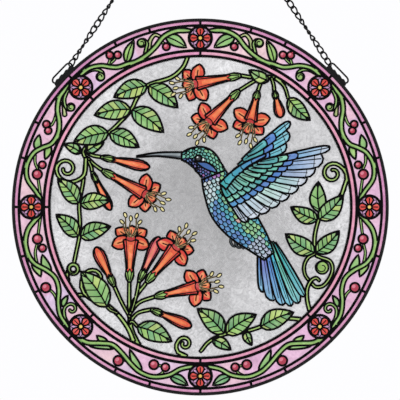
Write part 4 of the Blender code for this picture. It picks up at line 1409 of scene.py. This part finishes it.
def add_tight_curl(pattern, pane, lead_in, centre, reach, turning):
    """A stem that winds into a coil."""
    middle = field_point(pane, *centre)
    path = [field_point(pane, *p) for p in lead_in]
    sense = turning * -pane[2]
    start = path[-1] - middle
    opening = math.degrees(math.atan2(start.y, start.x))
    inside = reach - CURL_STEM / 2 - start.length
    path += [middle + turned(Vector((1, 0)), opening + sense * turn) * (start.length + inside * share)
             for turn, share in ((45, 0.55), (85, 0.9), (125, 1.0))]
    add_stem(pattern, smooth_line(path, 4), CURL_STEM * 1.1, CURL_STEM * 0.9, (VINE_GREEN, VINE_LIGHT),
             settings().line_width * 0.8)
    add_coil(pattern, middle, reach, opening + 95 * sense, VINE_LIGHT, sense)


def add_berry(pattern, centre, size):
    corner = Vector((size, -size))
    # Darker towards its lower right as painted shade, with a painted highlight towards its upper left.
    paint = fading(CRIMSON, mixed(CRIMSON, DARK, 0.35), centre - corner, centre + corner)
    berry = pattern.shape(None, oval(centre, size, size), paint, settings().line_width)
    pattern.shape(None, oval(centre + Vector((-0.22, 0.25)) * size, size * 0.40, size * 0.34, 40, 12),
                  even(mixed(CRIMSON, BERRY_SHINE, 0.7)), 0.0, berry)


def draw_border():
    """Eight panes of pale glass with the vine, its leaves, curls and berries."""
    pattern = Pattern()
    vine = settings().vine_width
    line = settings().line_width
    tones = random.Random(5)
    green = (VINE_GREEN, VINE_LIGHT)
    for number, pane in enumerate(PANES):
        kind, _, sense = pane
        own = add_pane(pattern, pane, f"border_pane_{number + 1}", tones)
        greens = random.Random(3)
        for stalk in STALKS[kind]:
            add_stem(pattern, field_line(pane, stalk), 2.0 * MM, 1.6 * MM, green, line * 0.6)
        for path, first, last in BRACTS.get(kind, []):
            add_stem(pattern, field_line(pane, path), first, last, BRACT_COLOURS, line * 0.8, round_end=True)
        for tight in TIGHT_CURLS.get(kind, []):
            add_tight_curl(pattern, pane, *tight)
        for lead_in, centre, reach, turning in OPEN_CURLS.get(kind, []):
            lead_in = [field_point(pane, *p) for p in lead_in]
            path = curl(lead_in, field_point(pane, *centre), reach, turning * sense)
            add_stem(pattern, path, CURL_STEM * 1.1, CURL_STEM * 0.9, green, line * 0.8, round_end=True)
        for base, tip, width, ribbed in BORDER_LEAVES[kind]:
            add_leaf(pattern, None, field_point(pane, *base), field_point(pane, *tip), sense, greens,
                     width=width, neck=0.3 * MM, within=own, veins=int(ribbed), line=line)
        add_stem(pattern, field_line(pane, VINES[kind]), vine, vine * 0.85, green, pointed=True)
        for place, size in BERRIES[kind]:
            add_berry(pattern, field_point(pane, *place), size * MM)
    for turn in ROSETTE_TURNS:
        centre = turned(Vector((ROSETTE_ORBIT, 0)), turn)
        pattern.shape(OPENING, oval(centre, ROSETTE_RADIUS, ROSETTE_RADIUS, turn, 28), None)
    return pattern


def draw_rosette():
    """One rosette at the right of the panel: four red petals, four slim lilac ones and a yellow middle."""
    pattern = Pattern()
    radius = ROSETTE_RADIUS
    line, fine = settings().line_width, settings().fine_width
    centre = Vector((ROSETTE_ORBIT, 0))
    disc = pattern.shape("rosette", oval(centre, radius, radius, 0, 28), even(mixed(LILAC, DARK, 0.28)), line)
    for k in range(8):
        way = turned(Vector((1, 0)), 45 * k)
        if k % 2:
            slim = [(u, v * radius) for u, v in SLIM_PETAL_EDGE]
            shape = mirrored(centre + way * radius * 0.25, centre + way * radius * 0.94, slim)
            pattern.shape("rosette", shape, even(LILAC), fine * 0.8, disc)
        else:
            full = [(u, v * radius) for u, v in FULL_PETAL_EDGE]
            shape = mirrored(centre + way * radius * 0.20, centre + way * radius * 0.96, full)
            paint = fading(ROSETTE_RED, mixed(ROSETTE_RED, DEEP_RED, 0.4), centre + way * radius * 0.3,
                           centre + way * radius)
            own = pattern.shape("rosette", shape, paint, line * 0.8, disc)
            pattern.stroke([centre + way * radius * 0.25, centre + way * radius * 0.80], fine, own)
    middle = oval(centre, 0.24 * radius, 0.24 * radius, 0, 16)
    pattern.shape("rosette", middle, even(ROSETTE_YELLOW), line * 0.9)
    return pattern


def draw_bands():
    """The outer band in 24 lengths and the inner one in 8, each a little different in tone."""
    pattern = Pattern()
    tones = random.Random(9)
    outer = sorted({(side * tick + quarter) % 360 for quarter in (0, 180) for tick in OUTER_TICKS + [90]
                    for side in (1, -1)})
    bands = [("outer_band", outer, OUTER_LEAD_RADIUS, OUTER_BAND_RADIUS, tuple(settings().band_pink)),
             ("inner_band", ROSETTE_TURNS, INNER_LEAD_RADIUS, INNER_BAND_RADIUS, tuple(settings().band_rose))]
    for name, ticks, low, high, colour in bands:
        for first, last in zip(ticks, ticks[1:] + [ticks[0] + 360]):
            steps = max(2, round((last - first) / 3))
            angles = [math.radians(first + (last - first) * i / steps) for i in range(steps + 1)]
            inner = [polar(a, low) for a in angles]
            rim = [polar(a, high) for a in angles]
            tone = [mixed(colour, tones.choice(BAND_TONES), tones.uniform(0.0, 0.55)) for _ in range(2)]
            pattern.shape(name, inner + rim[::-1], fading(tone[0], tone[1], inner[0], inner[-1]),
                          settings().lead_width)
    return pattern


def around_panel(name, mesh, turns):
    """Copies of a mesh at the right of the panel, turned round its middle."""
    tree = bpy.data.node_groups.get("round_the_panel")
    if not tree:
        tree, add = node_tree("round_the_panel", [("Copies", "Int"), ("Material", "Material")])
        given = add("NodeGroupInput").outputs
        points = add("GeometryNodeMeshLine", {"Count": given["Copies"], "Offset": (0, 0, 0)})
        index = add("GeometryNodeInputIndex").outputs[0]
        step = add("ShaderNodeMath", {0: math.tau, 1: given["Copies"]}, operation="DIVIDE").outputs[0]
        angle = add("ShaderNodeMath", {0: index, 1: step}, operation="MULTIPLY").outputs[0]
        turn = add("ShaderNodeCombineXYZ", {"Y": angle}).outputs[0]
        centred = add("GeometryNodeTransform", {"Geometry": given["Geometry"], "Translation": -PANEL_CENTRE})
        copies = add("GeometryNodeInstanceOnPoints",
                     {"Points": points.outputs[0], "Instance": centred.outputs[0], "Rotation": turn})
        placed = add("GeometryNodeTransform", {"Geometry": copies.outputs[0], "Translation": PANEL_CENTRE})
        end_tree(add, placed.outputs[0], given["Material"])
    values = {"Copies": turns, "Material": mesh.materials[0]}
    return link_object(name, made_by(tree, link_object(name + "_one", mesh), values))


# Wire and chain

def smooth_metal(shape, name):
    """A smooth black metal mesh from a shape that is being built."""
    for face in shape.faces:
        face.smooth = True
    bmesh.ops.recalc_face_normals(shape, faces=shape.faces)
    mesh = bpy.data.meshes.new(name)
    shape.to_mesh(mesh)
    shape.free()
    mesh.materials.append(black_metal())
    return mesh


def wire_mesh(points, wire, sides=12):
    """A closed smooth wire through the points."""
    shape = bmesh.new()
    count = len(points)
    middle = sum(points, Vector()) / count
    rings = []
    for i, here in enumerate(points):
        run = (points[(i + 1) % count] - points[i - 1]).normalized()
        out = here - middle
        out = (out - run * out.dot(run)).normalized()
        side = run.cross(out)
        rings.append([shape.verts.new(here + (out * math.cos(a) + side * math.sin(a)) * wire / 2)
                      for a in (math.tau * k / sides for k in range(sides))])
    for first, second in zip(rings, rings[1:] + rings[:1]):
        for k in range(sides):
            shape.faces.new((first[k], second[k], second[k - 1], first[k - 1]))
    return smooth_metal(shape, "wire")


def loop_frame(side):
    out = Vector((side * math.sin(LOOP_TURN), 0, math.cos(LOOP_TURN)))
    upward = Vector((-side * math.cos(LOOP_TURN), 0, math.sin(LOOP_TURN)))
    short = out * math.cos(LOOP_TILT) + Vector((0, -1, 0)) * math.sin(LOOP_TILT)
    reach = (LOOP_WIDTH - LOOP_WIRE) / 2 * math.cos(LOOP_TILT)
    centre = PANEL_CENTRE + out * (PANEL_RADIUS + JOINT_GAP + LOOP_WIRE * 0.55 + reach)
    return centre, upward, short, out


def loop_mesh(side):
    centre, upward, short, _ = loop_frame(side)
    long_half, short_half = (LOOP_LENGTH - LOOP_WIRE) / 2, (LOOP_WIDTH - LOOP_WIRE) / 2
    straight = long_half - short_half
    points = []
    for step in range(36):
        angle = math.tau * (step + 0.5) / 36
        shift = straight if math.sin(angle) > 0 else -straight
        along = upward * (shift + short_half * math.sin(angle))
        points.append(centre + along + short * short_half * math.cos(angle))
    return wire_mesh(points, LOOP_WIRE - WIRE_EASE)


def solder_mesh(side):
    """The solder that holds a loop to the rim, as two soft lumps run together along the rim."""
    _, upward, _, out = loop_frame(side)
    foot = PANEL_CENTRE + out * (PANEL_RADIUS + 0.2 * MM)
    shape = bmesh.new()
    lumps = random.Random(4)
    for place, length in ((-7.4, 3.4), (-2.8, 4.2), (2.6, 4.0), (7.2, 3.2)):
        lump = bmesh.ops.create_icosphere(shape, subdivisions=3, radius=1.0)
        stretch = Matrix((upward * length * MM, Vector((0, 1, 0)) * 2.3 * MM, out * 2.8 * MM)).transposed()
        for vert in lump["verts"]:
            ripple = 1 + 0.08 * math.sin(vert.co.x * 5 + lumps.random() * 0.3)
            vert.co = foot + upward * place * MM + stretch @ (vert.co * ripple)
    return smooth_metal(shape, "solder")


def link_mesh(length):
    """One curb link along Z, with its width along X and its two sides leaning opposite ways."""
    half_long, half_wide = (length - LINK_WIRE) / 2, (LINK_WIDTH - LINK_WIRE) / 2
    points = []
    for i in range(20):
        t = math.tau * i / 20
        x, z = math.sin(t), math.cos(t)
        squared = max(abs(x), abs(z))
        lean = half_wide * 0.45 * math.sin(2 * t)
        points.append(Vector((half_wide * x * squared**0.25, lean, half_long * z)))
    return wire_mesh(points, LINK_WIRE, 7)


def chain_tree():
    """A run of links between two points, each turned on a little from the one before."""
    inputs = [("Start", "Vector"), ("End", "Vector"), ("Count", "Int"), ("First Turn", "Float"),
              ("Turn Step", "Float"), ("Material", "Material")]
    tree, add = node_tree("chain_run", inputs)
    given = add("NodeGroupInput").outputs
    line = add("GeometryNodeMeshLine", {"Count": given["Count"], "Start Location": given["Start"],
                                        "Offset": given["End"]}, mode="END_POINTS")
    way = add("ShaderNodeVectorMath", {0: given["End"], 1: given["Start"]}, operation="SUBTRACT").outputs[0]
    aim = add("FunctionNodeAlignRotationToVector", {"Vector": way}, axis="Z", pivot_axis="Y")
    index = add("GeometryNodeInputIndex").outputs[0]
    step = add("ShaderNodeMath", {0: index, 1: given["Turn Step"], 2: given["First Turn"]},
               operation="MULTIPLY_ADD").outputs[0]
    spin = add("FunctionNodeAxisAngleToRotation", {"Axis": (0, 0, 1), "Angle": step}).outputs[0]
    turn = add("FunctionNodeRotateRotation", {"Rotation": aim.outputs[0], "Rotate By": spin},
               rotation_space="LOCAL").outputs[0]
    copies = add("GeometryNodeInstanceOnPoints", {"Points": line.outputs[0], "Instance": given["Geometry"],
                                                  "Rotation": turn})
    end_tree(add, copies.outputs[0], given["Material"])
    return tree


def chain_values(side):
    """Where a run's first and last links are, and how they turn: the same as in the solids."""
    centre, upward, short, _ = loop_frame(side)
    low = centre + upward * (LOOP_LENGTH - LOOP_WIRE) / 2
    along = (RING_CENTRE - low).normalized()
    high = RING_CENTRE - along * (TOP_RING_DIAMETER - TOP_RING_WIRE) / 2
    start = low - along * ((LOOP_WIRE + CHAIN_WIRE) / 2 + CHAIN_PLAY)
    end = high + along * ((TOP_RING_WIRE + CHAIN_WIRE) / 2 + CHAIN_PLAY)
    span = (end - start).length - CHAIN_WIRE
    count = round(span / CHAIN_PITCH)
    if count < 2:
        raise RuntimeError("There is no room for a run of links between the loop and the ring")
    pitch = span / count
    flat = along.cross(Vector((0, 1, 0)))
    first = short.cross(along).normalized()
    first_turn = math.atan2(first.y, first.dot(flat))
    half_turns = round((first_turn + CHAIN_TWIST * (count - 1)) / math.pi - 0.5)
    twist = (math.pi * (half_turns + 0.5) - first_turn) / (count - 1)
    middle = start + along * (pitch + CHAIN_WIRE) / 2
    return {"Start": middle, "End": middle + along * pitch * (count - 1), "Count": count,
            "First Turn": first_turn, "Turn Step": twist}, pitch + 1.9 * LINK_WIRE


# Operators

class PieceOperator(bpy.types.Operator):
    bl_options = {"REGISTER", "UNDO"}


class GLASSPANEL_OT_rings(PieceOperator):
    """Make the black rim and the three round lead bars"""
    bl_idname = "glasspanel.rings"
    bl_label = "Rim and Lead Rings"

    def execute(self, context):
        if settings().flange * 2 > BORDER_RADIUS - MIDDLE_LEAD_RADIUS:
            raise RuntimeError("The flanges of the round lead bars leave no glass between them")
        rings = [("rim", PANEL_RADIUS, OUTER_BAND_RADIUS),
                 ("outer_lead", OUTER_LEAD_RADIUS + OUTER_SHIFT, BORDER_RADIUS + OUTER_SHIFT),
                 ("middle_lead", MIDDLE_LEAD_RADIUS, INNER_BAND_RADIUS),
                 ("inner_lead", INNER_LEAD_RADIUS + INNER_SHIFT, PICTURE_RADIUS + INNER_SHIFT)]
        flange = settings().flange
        for name, outer, inner in rings:
            depth, metal, slot = LEAD_DEPTH, lead_metal(), "lead"
            inner -= flange
            if name == "rim":
                depth, metal, slot = RIM_DEPTH, black_metal(), "black_metal"
            else:
                outer += flange
            path = circle((outer + inner) / 2, 180)
            bar = lead_object(name + "_bar", [path], outer - inner, depth, metal, closed=True)
            finished(bar, slot, [name])
        return {"FINISHED"}


class GLASSPANEL_OT_bands(PieceOperator):
    """Make the two narrow pink bands and the lead between their lengths"""
    bl_idname = "glasspanel.bands"
    bl_label = "Pink Bands"

    def execute(self, context):
        slots = {"outer_band": "glass_pink", "inner_band": "glass_rose"}
        glaze(draw_bands(), "band", slots.get, lambda piece: [piece])
        return {"FINISHED"}


class GLASSPANEL_OT_border(PieceOperator):
    """Make the border panes with their painted vine"""
    bl_idname = "glasspanel.border"
    bl_label = "Border Vine"

    def execute(self, context):
        glaze(draw_border(), "border", lambda piece: "glass_pale_pink", pane_nodes)
        return {"FINISHED"}


def pane_nodes(piece):
    """The solid that covers the same eighth of the border as this pane."""
    number = int(piece.split("_")[-1])
    _, start, sense = PANES[number - 1]
    middle = (start + sense * 22.5) % 360
    return [f"border_pane_{int(middle // 45) + 1}"]


class GLASSPANEL_OT_rosettes(PieceOperator):
    """Make the eight round flower jewels"""
    bl_idname = "glasspanel.rosettes"
    bl_label = "Rosettes"

    def execute(self, context):
        pattern = draw_rosette()
        plates, lines = pattern.cut(settings().lead_width)
        if "rosette" not in plates:
            raise RuntimeError("The drawing of the rosette shows no glass")
        plate = plate_object("rosette_plate", pattern.cut_corners, plates["rosette"], coloured_glass())
        for vert in plate.data.vertices:
            vert.co.y *= ROSETTE_BULGE
        names = [f"rosette_{i + 1}" for i in range(8)]
        finished(around_panel("rosettes_glass", plate.data.copy(), 8), "glass_red", names)
        bpy.data.objects.remove(plate, do_unlink=True)
        depth = GLASS_THICKNESS * ROSETTE_BULGE + 0.3 * MM
        bars = [lead_object(f"rosette_line_{i}", paths, width, depth, lead_metal(), rounded=False)
                for i, ((_, width), paths) in enumerate(sorted(lines.items()))]
        ring = [Vector((ROSETTE_ORBIT, 0)) + p for p in circle(ROSETTE_RADIUS + JOINT_GAP, 36)]
        bars.append(lead_object("rosette_ring", [ring], ROSETTE_LEAD, LEAD_DEPTH, lead_metal(), closed=True))
        joined = joined_object("rosette_bars", bars)
        finished(around_panel("rosettes_lead", joined.data.copy(), 8), "lead")
        bpy.data.objects.remove(joined, do_unlink=True)
        return {"FINISHED"}


class GLASSPANEL_OT_picture(PieceOperator):
    """Make the bird, the flowers, the leaves and the clear ground"""
    bl_idname = "glasspanel.picture"
    bl_label = "Picture"

    def execute(self, context):
        glaze(draw_picture(), "picture", figure_slot, lambda piece: [piece])
        return {"FINISHED"}


class GLASSPANEL_OT_hanging(PieceOperator):
    """Make the hanging loops, both runs of chain and the top ring"""
    bl_idname = "glasspanel.hanging"
    bl_label = "Loops, Chain and Ring"

    def execute(self, context):
        tree = chain_tree()
        for name, side in (("left", -1), ("right", 1)):
            wire = link_object(f"{name}_loop_wire", loop_mesh(side))
            finished(wire, "black_metal", [f"{name}_hanging_loop"])
            finished(link_object(f"{name}_loop_solder", solder_mesh(side)), "black_metal")
            values, length = chain_values(side)
            holder = link_object(f"{name}_link", link_mesh(length))
            mesh = made_by(tree, holder, {**values, "Material": black_metal()})
            finished(link_object(f"{name}_chain_links", mesh), "black_metal", [f"{name}_chain"])
        radius = (TOP_RING_DIAMETER - TOP_RING_WIRE - WIRE_EASE) / 2
        points = [RING_CENTRE + Vector((p.x, 0, p.y)) for p in circle(radius, 48)]
        ring = link_object("top_ring_wire", wire_mesh(points, TOP_RING_WIRE - WIRE_EASE))
        finished(ring, "black_metal", ["top_ring"])
        return {"FINISHED"}


class GLASSPANEL_OT_stage(PieceOperator):
    """Set the pale floor, the white room, the soft lights and the camera"""
    bl_idname = "glasspanel.stage"
    bl_label = "Stage"

    def execute(self, context):
        scene = context.scene
        mesh = bpy.data.meshes.new("stage_floor")
        square = ((-1, -1), (1, -1), (1, 1), (-1, 1))
        corners = [(x * FLOOR_HALF, y * FLOOR_HALF, FLOOR_HEIGHT) for x, y in square]
        mesh.from_pydata(corners, [], [(0, 1, 2, 3)])
        material, _, shade = new_material("stage_paper")
        shade({"Base Color": (0.88, 0.88, 0.885, 1), "Roughness": 0.9})
        mesh.materials.append(material)
        link_object("stage_floor", mesh)
        world = bpy.data.worlds.new("soft_white_room")
        scene.world = world
        world.use_nodes = True
        background = world.node_tree.nodes["Background"]
        fill_inputs(world.node_tree, background, {"Color": (0.985, 0.985, 1.0, 1.0), "Strength": 1.0})
        for name, place, reach, power in LIGHTS:
            light = bpy.data.lights.new(name, "AREA")
            light.size = reach
            light.energy = power
            lamp = link_object(name, light)
            lamp.location = place
            lamp.rotation_euler = (PANEL_CENTRE - Vector(place)).to_track_quat("-Z", "Y").to_euler()
        lens = bpy.data.cameras.new("front_camera")
        lens.lens = 100
        lens.sensor_width = 36
        lens.clip_start = 0.01
        camera = link_object("front_camera", lens)
        pixel = PANEL_RADIUS / VIEW_PANEL_RADIUS
        distance = VIEW_SIDE * pixel * lens.lens / lens.sensor_width
        camera.location = PANEL_CENTRE + Vector((VIEW_SHIFT[0] * pixel, -distance, VIEW_SHIFT[1] * pixel))
        camera.rotation_euler = (math.pi / 2, 0, 0)
        scene.camera = camera
        scene.view_settings.view_transform = "Standard"
        return {"FINISHED"}


class GLASSPANEL_PT_panel(bpy.types.Panel):
    """Lists the steps that build the panel"""
    bl_idname = "GLASSPANEL_PT_panel"
    bl_label = "Glass Panel"
    bl_space_type = "VIEW_3D"
    bl_region_type = "UI"
    bl_category = "Glass Panel"

    def draw(self, context):
        values = settings()
        for name in GlassPanelSettings.__annotations__:
            self.layout.prop(values, name)
        for operator in STEPS:
            self.layout.operator(operator.bl_idname)


STEPS = (GLASSPANEL_OT_rings, GLASSPANEL_OT_bands, GLASSPANEL_OT_border, GLASSPANEL_OT_rosettes,
         GLASSPANEL_OT_picture, GLASSPANEL_OT_hanging, GLASSPANEL_OT_stage)
CLASSES = (GlassPanelSettings, *STEPS, GLASSPANEL_PT_panel)


def register():
    for item in CLASSES:
        bpy.utils.register_class(item)
    bpy.types.Scene.glass_panel = bpy.props.PointerProperty(type=GlassPanelSettings)


def unregister():
    del bpy.types.Scene.glass_panel
    for item in reversed(CLASSES):
        bpy.utils.unregister_class(item)


def main():
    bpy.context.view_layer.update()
    register()
    for step in STEPS:
        group, name = step.bl_idname.split(".")
        getattr(getattr(bpy.ops, group), name)()
    bpy.context.view_layer.update()


if __name__ == "__main__":
    main()
